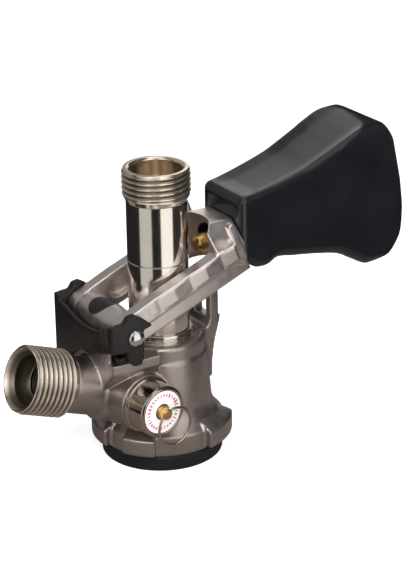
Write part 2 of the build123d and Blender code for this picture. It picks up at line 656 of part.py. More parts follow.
# ---- probe --------------------------------------------------------------------------------------------------
def outlet_spout():
    thread_from = SPOUT_TOP - SPOUT_THREAD
    tube_to = thread_from - SPOUT_RUNOUT
    foot = JOINT_Z - SPIGOT_L
    mouth = SPOUT_TOP - SPOUT_MOUTH_DEPTH
    groove = ORING_GROOVE
    ring_z = foot + ORING_RISE
    return turned([
        (SPOUT_BORE, foot), (SPIGOT_R, foot), (SPIGOT_R, ring_z - groove), (SPIGOT_R - groove, ring_z - groove),
        (SPIGOT_R - groove, ring_z + groove), (SPIGOT_R, ring_z + groove), (SPIGOT_R, JOINT_Z),
        (PROBE_R - 0.2, JOINT_Z), (PROBE_R, JOINT_Z + 0.2), (PROBE_R, tube_to), (THREAD_R, thread_from),
        (THREAD_R, SPOUT_TOP - 0.8), (THREAD_R - 0.8, SPOUT_TOP), (SPOUT_MOUTH_R + 0.7, SPOUT_TOP),
        (SPOUT_MOUTH_R, SPOUT_TOP - 0.7), (SPOUT_MOUTH_R, mouth), (SPOUT_BORE, mouth - 6.0),
    ])


def probe_oring():
    return Pos(0, 0, JOINT_Z - SPIGOT_L + ORING_RISE) * Torus(SPIGOT_R - ORING_GROOVE / 2, ORING_GROOVE / 2 - 0.05)


def probe_tube():
    foot = JOINT_Z - SPIGOT_L - 0.2
    tube = turned([
        (BALL_SEAT_R, PROBE_BOTTOM), (PROBE_LOW_R - 1.8, PROBE_BOTTOM), (PROBE_LOW_R - 1.8, PROBE_BOTTOM + 5.0),
        (PROBE_LOW_R, PROBE_BOTTOM + 5.0), (PROBE_LOW_R, PROBE_STEP_Z - 1.2), (PROBE_R, PROBE_STEP_Z),
        (PROBE_R, JOINT_Z - 0.2), (PROBE_R - 0.2, JOINT_Z), (SPIGOT_R + SEAT, JOINT_Z), (SPIGOT_R + SEAT, foot),
        (PROBE_BORE, foot), (PROBE_BORE, BALL_SEAT_Z), (BALL_SEAT_R, BALL_SEAT_Z),
    ])
    for side in (-1, 1):
        low, high = sorted((side * (PROBE_R - TRUNNION_SINK), side * (PROBE_R + 2)))
        hole = Pos(0, (low + high) / 2, TRUNNION_Z) * Rot(90, 0, 0) * Cylinder(TRUNNION_R + SEAT, high - low)
        tube -= hole
    return tube


def trunnion_pins():
    pins = []
    for side in (-1, 1):
        start = PROBE_R - TRUNNION_SINK + 0.05
        low, high = sorted((side * start, side * TRUNNION_TIP))
        pins.append(Pos(0, (low + high) / 2, TRUNNION_Z) * Rot(90, 0, 0) * Cylinder(TRUNNION_R, high - low))
    return Compound(children=pins)


def probe_seal():
    """The flared rubber foot that presses on the keg valve."""
    r = PROBE_LOW_R - 1.8 + SEAT
    z = PROBE_BOTTOM
    flare_r = PROBE_LOW_R + FOOT_FLARE
    return turned([(r, z - FOOT_DROP), (flare_r - 0.2, z - FOOT_DROP), (flare_r, z + FOOT_H / 4),
                   (PROBE_LOW_R, z + FOOT_H), (r, z + FOOT_H)])


def ball_centre_z():
    return BALL_SEAT_Z + math.sqrt(BALL_R ** 2 - BALL_SEAT_R ** 2) + 0.06


def check_ball():
    return Pos(0, 0, ball_centre_z()) * Sphere(BALL_R)


def ball_retainer():
    low = ball_centre_z() + BALL_R + BALL_FLOAT + GAP
    ring = pipe(PROBE_BORE - SEAT, PROBE_BORE - 1.2, low, low + 1.6)
    for angle in (0, 90):
        ring += Rot(0, 0, angle) * block((-PROBE_BORE + 0.6, PROBE_BORE - 0.6), (-0.7, 0.7), (low, low + 1.6))
    return ring


# ---- relief valve -------------------------------------------------------------------------------------------
RELIEF_BACK = -RELIEF_L - RELIEF_FLANGE_T
RELIEF_FLOOR = RELIEF_BACK - RELIEF_SPIGOT_L


def relief_body():
    """The bright casing: flange, round cap with a recessed face, and threaded spigot."""
    shell = turned([
        (0, RELIEF_FLOOR), (RELIEF_SPIGOT_R, RELIEF_FLOOR), (RELIEF_SPIGOT_R, RELIEF_BACK),
        (RELIEF_FLANGE_R, RELIEF_BACK), (RELIEF_FLANGE_R, RELIEF_BACK + RELIEF_FLANGE_T), (RELIEF_R, -RELIEF_L),
        (RELIEF_R, -0.7), (RELIEF_R - 0.6, 0), (0, 0),
    ])
    shell -= rod(LABEL_R + 0.1, -0.7, 1)
    shell -= rod(STEM_R + RUN, -RELIEF_L, 1)
    shell -= rod(RELIEF_CHAMBER_R, RELIEF_FLOOR - 1, -0.7 - RELIEF_WALL)
    return RELIEF * shell


def relief_label():
    return RELIEF * pipe(LABEL_R, STEM_R + 0.5, -0.7, -0.7 + LABEL_T)


def relief_seat():
    washer = pipe(RELIEF_SPIGOT_R, RELIEF_WAY_R, RELIEF_FLOOR - SEAT_WASHER_T, RELIEF_FLOOR)
    return RELIEF * washer


def relief_poppet():
    start = RELIEF_FLOOR + 0.1
    return RELIEF * rod(POPPET_R, start, start + POPPET_T)


def relief_stem():
    start = RELIEF_FLOOR + 0.1 + POPPET_T
    stem = rod(STEM_R - 0.7, start, RELIEF_BACK + 2) + rod(STEM_R, RELIEF_BACK + 2, STEM_OUT - 0.4)
    stem += cone(STEM_R, STEM_R - 0.4, STEM_OUT - 0.4, STEM_OUT)
    tip = block((STEM_FLAT / 2, 9), (-9, 9), (STEM_HOLE_S - 1.4, 9))
    tip += block((-9, -STEM_FLAT / 2), (-9, 9), (STEM_HOLE_S - 1.4, 9))
    stem -= tip
    stem -= Pos(0, 0, STEM_HOLE_S) * Rot(0, 90, 0) * Cylinder(STEM_HOLE_R, 20)
    return RELIEF * Rot(0, 0, PULL_HANG) * stem


def relief_spring():
    start = RELIEF_FLOOR + 0.15 + POPPET_T + SPRING_WIRE
    end = -0.7 - RELIEF_WALL - SPRING_WIRE - 0.05
    mean = RELIEF_CHAMBER_R - SPRING_WIRE - 0.5
    return RELIEF * Pos(0, 0, start) * coil(mean, SPRING_WIRE, end - start, 5)


def pull_ring():
    ring = Pos(0, -PULL_R, STEM_HOLE_S) * Torus(PULL_R, PULL_WIRE_R)
    return RELIEF * Rot(0, 0, PULL_HANG) * ring


PIECES = {
    "body_housing": body_housing, "base_seal": base_seal, "gland_nut": gland_nut, "gland_orings": gland_orings,
    "gas_valve_seat": gas_valve_seat, "gas_check_valve": gas_check_valve, "hinge_bracket": hinge_bracket,
    "bracket_screws": bracket_screws, "hinge_pin": hinge_pin, "pin_clip": pin_clip, "lever_yoke": lever_yoke,
    "neck_bush": neck_bush, "handle_grip": handle_grip, "latch_bolt": latch_bolt, "grip_pin": grip_pin,
    "latch_spring": latch_spring, "outlet_spout": outlet_spout, "probe_tube": probe_tube,
    "probe_oring": probe_oring, "trunnion_pins": trunnion_pins, "probe_seal": probe_seal,
    "check_ball": check_ball, "ball_retainer": ball_retainer, "relief_body": relief_body,
    "relief_label": relief_label, "relief_seat": relief_seat, "relief_poppet": relief_poppet,
    "relief_stem": relief_stem, "relief_spring": relief_spring, "pull_ring": pull_ring,
}

os.makedirs("parts", exist_ok=True)
for name, make in PIECES.items():
    save(name, make())
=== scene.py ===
"""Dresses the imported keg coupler: finer meshes and finishes for its pieces, a plain studio and a camera."""
import math

import bmesh
import bpy
from bpy.props import FloatProperty, FloatVectorProperty, IntProperty, PointerProperty
from mathutils import Matrix, Vector


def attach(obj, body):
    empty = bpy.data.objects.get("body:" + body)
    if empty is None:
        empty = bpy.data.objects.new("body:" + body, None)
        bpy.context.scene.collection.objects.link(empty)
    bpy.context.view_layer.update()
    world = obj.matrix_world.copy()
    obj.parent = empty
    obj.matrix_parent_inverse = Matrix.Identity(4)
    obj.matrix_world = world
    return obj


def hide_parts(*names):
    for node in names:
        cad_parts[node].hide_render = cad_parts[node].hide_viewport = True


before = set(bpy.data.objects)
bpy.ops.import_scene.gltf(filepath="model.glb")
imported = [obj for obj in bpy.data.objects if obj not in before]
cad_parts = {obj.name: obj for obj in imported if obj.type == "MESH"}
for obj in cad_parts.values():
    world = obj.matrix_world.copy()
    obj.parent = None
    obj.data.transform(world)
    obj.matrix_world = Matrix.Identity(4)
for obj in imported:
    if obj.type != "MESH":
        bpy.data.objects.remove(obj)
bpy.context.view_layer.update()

bl_info = {
    "name": "Keg Coupler Dressing",
    "version": (1, 0, 0),
    "blender": (4, 5, 0),
    "location": "View3D > Sidebar > Coupler",
    "description": "Builds the visible pieces of a keg coupler round its packed solids",
    "category": "Object",
}

MM = 0.001

# ---- sizes shared with the solids, in millimetres ------------------------------------------------
PIVOT = (-20.3, 0.0, 51.5)
LEVER_TILT = 21.5
GRIP_ORIGIN = (25.5, 0.0, 76.0)
GRIP_TILT = 12.0
GRIP_FRONT_X = 24.8
BOLT_Q = -4.3
POCKET_R = 5.9
GAS_Z = 19.3
GAS_TILT = 19.5
GAS_REACH = 55.6
GAS_MOUTH_R = 10.2
GAS_BORE_R = 7.95
NECK_R = 9.5
RELIEF_FACE = (-14.65, -26.0, 26.3)
RELIEF_YAW = 7.0
PULL_HANG = 32.0
PULL_HOLE_S = 1.5
PROBE_R = 10.1
THREAD_R = 11.455
THREAD_PITCH = 1.814
ARM_OUT = 16.0


def spot(point):
    """A point given in millimetres, as a translation in metres."""
    return Matrix.Translation(Vector(point) * MM)


def turn(degrees, axis):
    return Matrix.Rotation(math.radians(degrees), 4, axis)


LEVER = spot(PIVOT) @ turn(-LEVER_TILT, "Y")
GRIP = spot(GRIP_ORIGIN) @ turn(-GRIP_TILT, "Y")
BOLT = GRIP @ spot((0, 0, BOLT_Q)) @ turn(90, "Y")
GAS = spot((0, 0, GAS_Z)) @ turn(GAS_TILT - 90, "Y")
RELIEF = spot(RELIEF_FACE) @ turn(RELIEF_YAW, "Z") @ turn(90, "X")
HINGE = spot(PIVOT) @ turn(90, "X")
UPRIGHT = Matrix.Identity(4)


# ---- settings ------------------------------------------------------------------------------------
def colour(name, text, value):
    return FloatVectorProperty(name=name, description=text, default=value, size=3, subtype="COLOR",
                               min=0, max=1)


def length(name, text, value):
    return FloatProperty(name=name, description=text, default=value * MM, unit="LENGTH", precision=5)


def number(name, text, value):
    return FloatProperty(name=name, description=text, default=value)


def whole(name, text, value, low):
    return IntProperty(name=name, description=text, default=value, min=low)


class FinishSettings(bpy.types.PropertyGroup):
    """The colours."""
    casting: colour("Body casting", "Blasted metal of the body", (0.42, 0.368, 0.355))
    lever: colour("Lever casting", "Satin metal of the lever", (0.74, 0.675, 0.655))
    polished: colour("Polished tube", "Bright metal of the probe and spout", (0.78, 0.735, 0.68))
    thread: colour("Thread", "Cut metal of the threads", (0.95, 0.81, 0.68))
    casing: colour("Relief casing", "Bright metal of the relief valve", (0.47, 0.41, 0.355))
    brass: colour("Brass", "Latch bolt and relief stem", (0.70, 0.44, 0.17))
    steel: colour("Bright steel", "Pins and clips", (0.72, 0.72, 0.74))
    wire: colour("Pull ring wire", "Gold-brown wire of the pull ring", (0.55, 0.44, 0.30))
    grip: colour("Grip plastic", "Moulded grip", (0.008, 0.0085, 0.0105))
    bracket: colour("Bracket plastic", "Hinge bracket", (0.010, 0.0085, 0.008))
    rubber: colour("Rubber", "Seals", (0.006, 0.0065, 0.008))
    label: colour("Label", "Relief valve label", (0.86, 0.85, 0.86))
    print_ring: colour("Label print", "Marks on the label", (0.62, 0.10, 0.20))


class ShapeSettings(bpy.types.PropertyGroup):
    """The sizes that only the visible pieces have."""
    thread_pitch: length("Thread pitch", "Distance from crest to crest", THREAD_PITCH)
    thread_depth: length("Thread depth", "Height of a crest over its root", 1.05)
    body_voxel: length("Casting grain of the body", "Voxel size of the softened casting", 0.42)
    lever_voxel: length("Casting grain of the lever", "Voxel size of the softened lever", 0.30)
    ring_wire: length("Pull ring wire", "Radius of the pull ring's wire", 0.45)
    ring_radius: length("Pull ring", "Radius of the pull ring to the wire's middle", 6.4)
    label_marks: whole("Label marks", "Marks printed round the label", 30, 3)
    segments: whole("Lathe segments", "Steps round a turned piece", 128, 24)


class StageSettings(bpy.types.PropertyGroup):
    """The camera and the lights."""
    azimuth: number("Azimuth", "Camera azimuth in degrees", -30.5)
    elevation: number("Elevation", "Camera elevation in degrees", 22.84)
    roll: number("Roll", "Camera roll in degrees", -1.43)
    distance: length("Distance", "Camera to aim point", 712)
    lens: number("Lens", "Focal length in millimetres", 134.6)
    key: number("Key light", "Power of the key light in watts", 7.0)
    fill: number("Fill light", "Power of the fill light in watts", 1.6)
    edge: number("Edge light", "Power of the small light on the grip's edge in watts", 0.45)
    ambient: number("Ambient", "Strength of the room light", 0.45)


def finishes():
    return bpy.context.scene.coupler_finish


def shapes():
    return bpy.context.scene.coupler_shape


# ---- mesh helpers --------------------------------------------------------------------------------
def add_object(name, mesh):
    obj = bpy.data.objects.new(name, mesh)
    bpy.context.scene.collection.objects.link(obj)
    return obj


def shade(mesh, angle=32.0):
    mesh.polygons.foreach_set("use_smooth", [True] * len(mesh.polygons))
    mesh.set_sharp_from_angle(angle=math.radians(angle))


def rounded(points, radius, steps=4):
    """A closed (radius, height) outline in mm with each corner off the axis rounded."""
    out = []
    count = len(points)
    for i, point in enumerate(points):
        here = Vector(point[:2])
        before = Vector(points[i - 1][:2])
        after = Vector(points[(i + 1) % count][:2])
        if here.x < 1e-6:
            out.append(here)
            continue
        to_before, to_after = before - here, after - here
        reach = min(radius, to_before.length * 0.42, to_after.length * 0.42)
        start = here + to_before.normalized() * reach
        end = here + to_after.normalized() * reach
        if start.x < 0 or end.x < 0 or to_before.normalized().dot(to_after.normalized()) < -0.995:
            out.append(here)
            continue
        for k in range(steps + 1):
            t = k / steps
            out.append(start * (1 - t) ** 2 + here * 2 * t * (1 - t) + end * t ** 2)
    return out


def dense(points, step):
    """The outline with long straight stretches along the height divided."""
    out = []
    count = len(points)
    for i, here in enumerate(points):
        after = points[(i + 1) % count]
        out.append(here)
        cuts = int(abs(after.y - here.y) / step)
        for k in range(1, cuts):
            out.append(here.lerp(after, k / cuts))
    return out


def turned(name, outline, place, segments=None):
    """A closed mesh turned about local Z from an outline of (radius, height) in mm."""
    segments = segments or shapes().segments
    bm = bmesh.new()
    rings = []
    for point in outline:
        if point.x < 1e-6:
            rings.append([bm.verts.new((0, 0, point.y * MM))])
            continue
        ring = []
        for k in range(segments):
            a = math.tau * k / segments
            ring.append(bm.verts.new((point.x * MM * math.cos(a), point.x * MM * math.sin(a), point.y * MM)))
        rings.append(ring)
    for i, low in enumerate(rings):
        high = rings[(i + 1) % len(rings)]
        if len(low) == 1 and len(high) == 1:
            continue
        for k in range(segments):
            n = (k + 1) % segments
            corners = [low[k % len(low)], low[n % len(low)], high[n % len(high)], high[k % len(high)]]
            unique = list(dict.fromkeys(corners))
            if len(unique) > 2:
                bm.faces.new(unique)
    bmesh.ops.recalc_face_normals(bm, faces=bm.faces)
    mesh = bpy.data.meshes.new(name)
    bm.to_mesh(mesh)
    bm.free()
    shade(mesh, 45)
    mesh.transform(place)
    return add_object(name, mesh)


def baked(obj):
    """The object with its modifiers made part of its mesh."""
    bpy.context.view_layer.update()
    depsgraph = bpy.context.evaluated_depsgraph_get()
    mesh = bpy.data.meshes.new_from_object(obj.evaluated_get(depsgraph))
    obj.modifiers.clear()
    obj.data = mesh
    return obj


def merged_copy(node, name):
    """A copy of a CAD node's mesh with its loose triangles joined."""
    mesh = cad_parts[node].data.copy()
    mesh.name = name
    bm = bmesh.new()
    bm.from_mesh(mesh)
    bmesh.ops.remove_doubles(bm, verts=bm.verts, dist=1e-6)
    bm.to_mesh(mesh)
    bm.free()
    mesh.materials.clear()
    return add_object(name, mesh)


def softened(node, name, width=0.12, angle=35):
    """A CAD node's copy with fine bevels on its edges."""
    obj = merged_copy(node, name)
    bm = bmesh.new()
    bm.from_mesh(obj.data)
    bmesh.ops.dissolve_limit(bm, angle_limit=math.radians(0.5), verts=bm.verts, edges=bm.edges)
    bm.to_mesh(obj.data)
    bm.free()
    bevel = obj.modifiers.new("Bevel", "BEVEL")
    bevel.width = width * MM
    bevel.segments = 2
    bevel.limit_method = "ANGLE"
    bevel.angle_limit = math.radians(angle)
    bevel.use_clamp_overlap = True
    baked(obj)
    shade(obj.data, 30)
    return obj


def cast(node, name, voxel, smooth, cutters=()):
    """A CAD node's copy with the soft edges and inside corners of a casting."""
    obj = merged_copy(node, name)
    for cutter in cutters:
        cut = obj.modifiers.new("Cut", "BOOLEAN")
        cut.operation = "DIFFERENCE"
        cut.solver = "EXACT"
        cut.object = cutter
        baked(obj)
        bpy.data.objects.remove(cutter)
    remesh = obj.modifiers.new("Voxels", "REMESH")
    remesh.mode = "VOXEL"
    remesh.voxel_size = voxel
    relax = obj.modifiers.new("Relax", "SMOOTH")
    relax.factor = 0.5
    relax.iterations = smooth
    baked(obj)
    obj.data.polygons.foreach_set("use_smooth", [True] * len(obj.data.polygons))
    return obj


def finish(obj, material, body, slot, *nodes):
    """Paints a piece, ties it to its body and hides the CAD nodes it stands for."""
    obj.data.materials.clear()
    obj.data.materials.append(MATERIALS[material])
    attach(obj, body)
    if nodes:
        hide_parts(*nodes)


def lathe(name, outline, edge, place, material, body, slot, *nodes, steps=4, segments=None):
    """A finished piece turned from an outline whose corners are rounded by edge."""
    finish(turned(name, rounded(outline, edge, steps), place, segments), material, body, slot, *nodes)


def repaint(material, *nodes):
    """Gives a finish to CAD nodes that show as they are."""
    for node in nodes:
        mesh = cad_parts[node].data
        mesh.materials.clear()
        mesh.materials.append(MATERIALS[material])


# ---- materials -----------------------------------------------------------------------------------
class Shader:
    """A material under construction, with short calls for its nodes."""

    def __init__(self, name):
        self.material = bpy.data.materials.new(name)
        self.material.use_nodes = True
        self.tree = self.material.node_tree
        self.tree.nodes.clear()
        self.bsdf = self.add("ShaderNodeBsdfPrincipled")
        output = self.add("ShaderNodeOutputMaterial")
        self.join(self.bsdf.outputs["BSDF"], output.inputs["Surface"])
        self.coords = self.add("ShaderNodeTexCoord").outputs["Object"]

    def add(self, kind, **settings):
        node = self.tree.nodes.new(kind)
        for key, value in settings.items():
            setattr(node, key, value)
        return node

    def join(self, source, target):
        self.tree.links.new(source, target)

    def set(self, **values):
        for key, value in values.items():
            self.bsdf.inputs[key.replace("_", " ")].default_value = value

    def noise(self, scale, detail=3.0, rough=0.5, stretch=None):
        node = self.add("ShaderNodeTexNoise")
        node.inputs["Scale"].default_value = scale
        node.inputs["Detail"].default_value = detail
        node.inputs["Roughness"].default_value = rough
        source = self.coords
        if stretch is not None:
            mapping = self.add("ShaderNodeMapping")
            mapping.inputs["Scale"].default_value = stretch
            self.join(source, mapping.inputs["Vector"])
            source = mapping.outputs["Vector"]
        self.join(source, node.inputs["Vector"])
        return node.outputs["Fac"]

    def spread(self, fac, low, high, start=0.3, end=0.7):
        """fac mapped from start..end to low..high."""
        node = self.add("ShaderNodeMapRange")
        for socket, value in (("From Min", start), ("From Max", end), ("To Min", low), ("To Max", high)):
            node.inputs[socket].default_value = value
        self.join(fac, node.inputs["Value"])
        return node.outputs["Result"]

    def tint(self, fac, first, second):
        node = self.add("ShaderNodeMix", data_type="RGBA")
        node.inputs[6].default_value = (*first, 1)
        node.inputs[7].default_value = (*second, 1)
        self.join(fac, node.inputs["Factor"])
        return node.outputs[2]

    def bump(self, height, strength, distance):
        node = self.add("ShaderNodeBump")
        node.inputs["Strength"].default_value = strength
        node.inputs["Distance"].default_value = distance * MM
        self.join(height, node.inputs["Height"])
        self.join(node.outputs["Normal"], self.bsdf.inputs["Normal"])


def scaled(rgb, factor):
    return tuple(min(1.0, c * factor) for c in rgb)


def metal(name, rgb, rough, spread, grain, depth, mottle=0.12, stretch=None):
    """A metal with mottled colour, uneven roughness and a fine surface, with painted shade where its mesh has
    the pocket attribute.
    """
    s = Shader(name)
    s.set(Metallic=1.0)
    patches = s.spread(s.noise(110, 4), 0, 1)
    # painted shade: where the pocket attribute is 1, the colour drops to a tenth of the metal's
    mix = s.add("ShaderNodeMix", data_type="RGBA")
    s.join(s.add("ShaderNodeAttribute", attribute_name="pocket").outputs["Fac"], mix.inputs["Factor"])
    s.join(s.tint(patches, scaled(rgb, 1 - mottle), scaled(rgb, 1 + mottle)), mix.inputs[6])
    mix.inputs[7].default_value = (*scaled(rgb, 0.1), 1)
    s.join(mix.outputs[2], s.bsdf.inputs["Base Color"])
    fine = s.noise(grain, 2, 0.6, stretch)
    s.join(s.spread(s.noise(320, 3), rough - spread, rough + spread), s.bsdf.inputs["Roughness"])
    s.bump(fine, 0.5, depth)
    return s.material


def cut_metal(name, rgb, rough):
    """The metal of a thread, with painted shade: dark and dull down in the grooves and inside the mouth,
    bright on the crests.
    """
    s = Shader(name)
    s.set(Metallic=1.0)
    # painted shade: the grooves and the mouth's inside darken the colour towards 7% and also make it duller
    groove = s.add("ShaderNodeAttribute", attribute_name="groove").outputs["Fac"]
    inside = s.add("ShaderNodeAttribute", attribute_name="inside").outputs["Fac"]
    most = s.add("ShaderNodeMath", operation="MAXIMUM")
    s.join(s.spread(groove, 0, 0.95, 0.10, 0.85), most.inputs[0])
    s.join(inside, most.inputs[1])
    groove_shade_and_dullness = most.outputs[0]
    bright = s.tint(s.spread(s.noise(140, 4), 0, 1), scaled(rgb, 0.88), scaled(rgb, 1.1))
    mix = s.add("ShaderNodeMix", data_type="RGBA")
    s.join(groove_shade_and_dullness, mix.inputs["Factor"])
    s.join(bright, mix.inputs[6])
    mix.inputs[7].default_value = (*scaled(rgb, 0.07), 1)
    s.join(mix.outputs[2], s.bsdf.inputs["Base Color"])
    s.join(s.spread(groove_shade_and_dullness, rough, rough + 0.25, 0, 1), s.bsdf.inputs["Roughness"])
    s.bump(s.noise(1500, 2), 0.4, 0.01)
    return s.material


def plastic(name, rgb, rough, spread, grain, depth, shine=0.5):
    """A moulded or printed surface, a little uneven in colour and sheen."""
    s = Shader(name)
    s.set(IOR=1.5, Specular_IOR_Level=shine)
    tone = s.tint(s.spread(s.noise(70, 3), 0, 1), scaled(rgb, 0.8), scaled(rgb, 1.25))
    s.join(tone, s.bsdf.inputs["Base Color"])
    s.join(s.spread(s.noise(240, 4), rough - spread, rough + spread), s.bsdf.inputs["Roughness"])
    s.bump(s.noise(grain, 2), 0.4, depth)
    return s.material


def make_materials():
    f = finishes()
    return {
        "casting": metal("satin_casting", f.casting, 0.34, 0.05, 2200, 0.03),
        "lever": metal("satin_lever", f.lever, 0.33, 0.05, 2400, 0.02, 0.08),
        "polished": metal("polished_metal", f.polished, 0.13, 0.02, 900, 0.0015, 0.03, (1, 1, 0.08)),
        "thread": cut_metal("cut_thread", f.thread, 0.16),
        "casing": metal("bright_casing", f.casing, 0.12, 0.04, 900, 0.003, 0.06),
        "brass": metal("turned_brass", f.brass, 0.24, 0.06, 1800, 0.012, 0.12),
        "steel": metal("bright_steel", f.steel, 0.14, 0.04, 1500, 0.004, 0.04),
        "wire": metal("ring_wire", f.wire, 0.16, 0.04, 1500, 0.004, 0.06),
        "dark_steel": metal("dark_steel", (0.10, 0.10, 0.105), 0.34, 0.05, 1500, 0.01, 0.08),
        "grip": plastic("moulded_grip", f.grip, 0.19, 0.02, 1500, 0.004),
        "bracket": plastic("moulded_bracket", f.bracket, 0.28, 0.05, 1800, 0.015, 0.3),
        "rubber": plastic("seal_rubber", f.rubber, 0.58, 0.06, 1300, 0.02, 0.3),
        "white": plastic("white_moulding", (0.80, 0.80, 0.78), 0.4, 0.05, 1500, 0.01),
        "label": plastic("label_card", f.label, 0.38, 0.05, 1200, 0.004),
        "print": plastic("label_print", f.print_ring, 0.42, 0.05, 1200, 0.002),
    }


MATERIALS = {}


# ---- geometry node trees -------------------------------------------------------------------------
class Growth:
    """A geometry node tree under construction."""

    def __init__(self, name, inputs):
        self.tree = bpy.data.node_groups.new(name, "GeometryNodeTree")
        face = self.tree.interface
        face.new_socket("Geometry", in_out="INPUT", socket_type="NodeSocketGeometry")
        for label, kind in inputs:
            face.new_socket(label, in_out="INPUT", socket_type=kind)
        face.new_socket("Geometry", in_out="OUTPUT", socket_type="NodeSocketGeometry")
        self.entry = self.add("NodeGroupInput")
        self.exit = self.add("NodeGroupOutput")

    def add(self, kind, **settings):
        node = self.tree.nodes.new(kind)
        for key, value in settings.items():
            setattr(node, key, value)
        return node

    def join(self, source, target):
        self.tree.links.new(source, target)

    def math(self, operation, a, b=None, c=None):
        node = self.add("ShaderNodeMath", operation=operation)
        for socket, value in zip(node.inputs, (a, b, c)):
            if value is None:
                continue
            if isinstance(value, (int, float)):
                socket.default_value = value
            else:
                self.join(value, socket)
        return node.outputs[0]

    def close(self, geometry):
        """Realizes what came in, gives it the material and ends the tree."""
        real = self.add("GeometryNodeRealizeInstances")
        paint = self.add("GeometryNodeSetMaterial")
        self.join(geometry, real.inputs[0])
        self.join(real.outputs[0], paint.inputs["Geometry"])
        self.join(self.entry.outputs["Material"], paint.inputs["Material"])
        self.join(paint.outputs[0], self.exit.inputs[0])
        return self.tree


def grow(obj, tree, **values):
    """Runs a tree on an object with named values and bakes the result."""
    modifier = obj.modifiers.new(tree.name, "NODES")
    modifier.node_group = tree
    sockets = {item.name: item.identifier for item in tree.interface.items_tree if item.in_out == "INPUT"}
    for label, value in values.items():
        modifier[sockets[label.replace("_", " ")]] = value
    return baked(obj)


def thread_tree():
    """Presses a helical thread into a turned mesh wherever its 'cut' attribute says."""
    g = Growth("Helical thread", [("Pitch", "NodeSocketFloat"), ("Depth", "NodeSocketFloat"),
                                  ("Material", "NodeSocketMaterial")])
    place = g.add("GeometryNodeInputPosition").outputs[0]
    parts = g.add("ShaderNodeSeparateXYZ")
    g.join(place, parts.inputs[0])
    angle = g.math("DIVIDE", g.math("ARCTAN2", parts.outputs["Y"], parts.outputs["X"]), math.tau)
    rise = g.math("DIVIDE", parts.outputs["Z"], g.entry.outputs["Pitch"])
    phase = g.math("FRACT", g.math("SUBTRACT", rise, angle))
    wave = g.math("MULTIPLY", g.math("PINGPONG", phase, 0.5), 2.0)
    eased = g.math("SMOOTH_MIN", g.math("SMOOTH_MAX", wave, 0.10, 0.12), 0.90, 0.12)
    cut = g.add("GeometryNodeInputNamedAttribute", data_type="FLOAT")
    cut.inputs["Name"].default_value = "cut"
    groove = g.math("MULTIPLY", eased, cut.outputs["Attribute"])
    sink = g.math("MULTIPLY", groove, g.entry.outputs["Depth"])
    flat = g.add("ShaderNodeVectorMath", operation="MULTIPLY")
    flat.inputs[1].default_value = (1, 1, 0)
    g.join(place, flat.inputs[0])
    outward = g.add("ShaderNodeVectorMath", operation="NORMALIZE")
    g.join(flat.outputs[0], outward.inputs[0])
    offset = g.add("ShaderNodeVectorMath", operation="SCALE")
    g.join(outward.outputs[0], offset.inputs[0])
    g.join(g.math("MULTIPLY", sink, -1.0), offset.inputs["Scale"])
    move = g.add("GeometryNodeSetPosition")
    g.join(offset.outputs[0], move.inputs["Offset"])
    # keeps the groove's depth, which the thread's material turns into painted shade in the grooves
    keep = g.add("GeometryNodeStoreNamedAttribute", data_type="FLOAT", domain="POINT")
    keep.inputs["Name"].default_value = "groove"
    g.join(g.entry.outputs["Geometry"], keep.inputs["Geometry"])
    g.join(groove, keep.inputs["Value"])
    g.join(keep.outputs["Geometry"], move.inputs["Geometry"])
    return g.close(move.outputs[0])


def coil_tree():
    """A wire coil along local Z."""
    g = Growth("Wire coil", [("Radius", "NodeSocketFloat"), ("Wire", "NodeSocketFloat"),
                             ("Height", "NodeSocketFloat"), ("Turns", "NodeSocketFloat"),
                             ("Material", "NodeSocketMaterial")])
    spiral = g.add("GeometryNodeCurveSpiral")
    spiral.inputs["Resolution"].default_value = 28
    for label, target in (("Radius", "Start Radius"), ("Radius", "End Radius"), ("Height", "Height"),
                          ("Turns", "Rotations")):
        g.join(g.entry.outputs[label], spiral.inputs[target])
    section = g.add("GeometryNodeCurvePrimitiveCircle")
    section.inputs["Resolution"].default_value = 10
    g.join(g.entry.outputs["Wire"], section.inputs["Radius"])
    tube = g.add("GeometryNodeCurveToMesh")
    tube.inputs["Fill Caps"].default_value = True
    g.join(spiral.outputs[0], tube.inputs["Curve"])
    g.join(section.outputs[0], tube.inputs["Profile Curve"])
    return g.close(tube.outputs[0])


def marks_tree():
    """Short marks standing round a circle in the local XY plane."""
    g = Growth("Ring of marks", [("Radius", "NodeSocketFloat"), ("Count", "NodeSocketInt"),
                                 ("Width", "NodeSocketFloat"), ("Length", "NodeSocketFloat"),
                                 ("Height", "NodeSocketFloat"), ("Material", "NodeSocketMaterial")])
    circle = g.add("GeometryNodeCurvePrimitiveCircle")
    circle.inputs["Resolution"].default_value = 180
    g.join(g.entry.outputs["Radius"], circle.inputs["Radius"])
    points = g.add("GeometryNodeCurveToPoints", mode="COUNT")
    g.join(circle.outputs[0], points.inputs["Curve"])
    g.join(g.entry.outputs["Count"], points.inputs["Count"])
    size = g.add("ShaderNodeCombineXYZ")
    for label, axis in (("Width", "X"), ("Height", "Y"), ("Length", "Z")):
        g.join(g.entry.outputs[label], size.inputs[axis])
    mark = g.add("GeometryNodeMeshCube")
    g.join(size.outputs[0], mark.inputs["Size"])
    stand = g.add("GeometryNodeInstanceOnPoints")
    g.join(points.outputs["Points"], stand.inputs["Points"])
    g.join(mark.outputs["Mesh"], stand.inputs["Instance"])
    g.join(points.outputs["Rotation"], stand.inputs["Rotation"])
    vary = g.add("FunctionNodeRandomValue", data_type="FLOAT_VECTOR")
    vary.inputs[0].default_value = (0.55, 1, 0.5)
    vary.inputs[1].default_value = (1.1, 1, 1.35)
    g.join(vary.outputs[0], stand.inputs["Scale"])
    return g.close(stand.outputs[0])


TREES = {}


# a threaded mesh has this many rings to a pitch and this many steps round
THREAD_RINGS = 14
THREAD_STEPS = 144


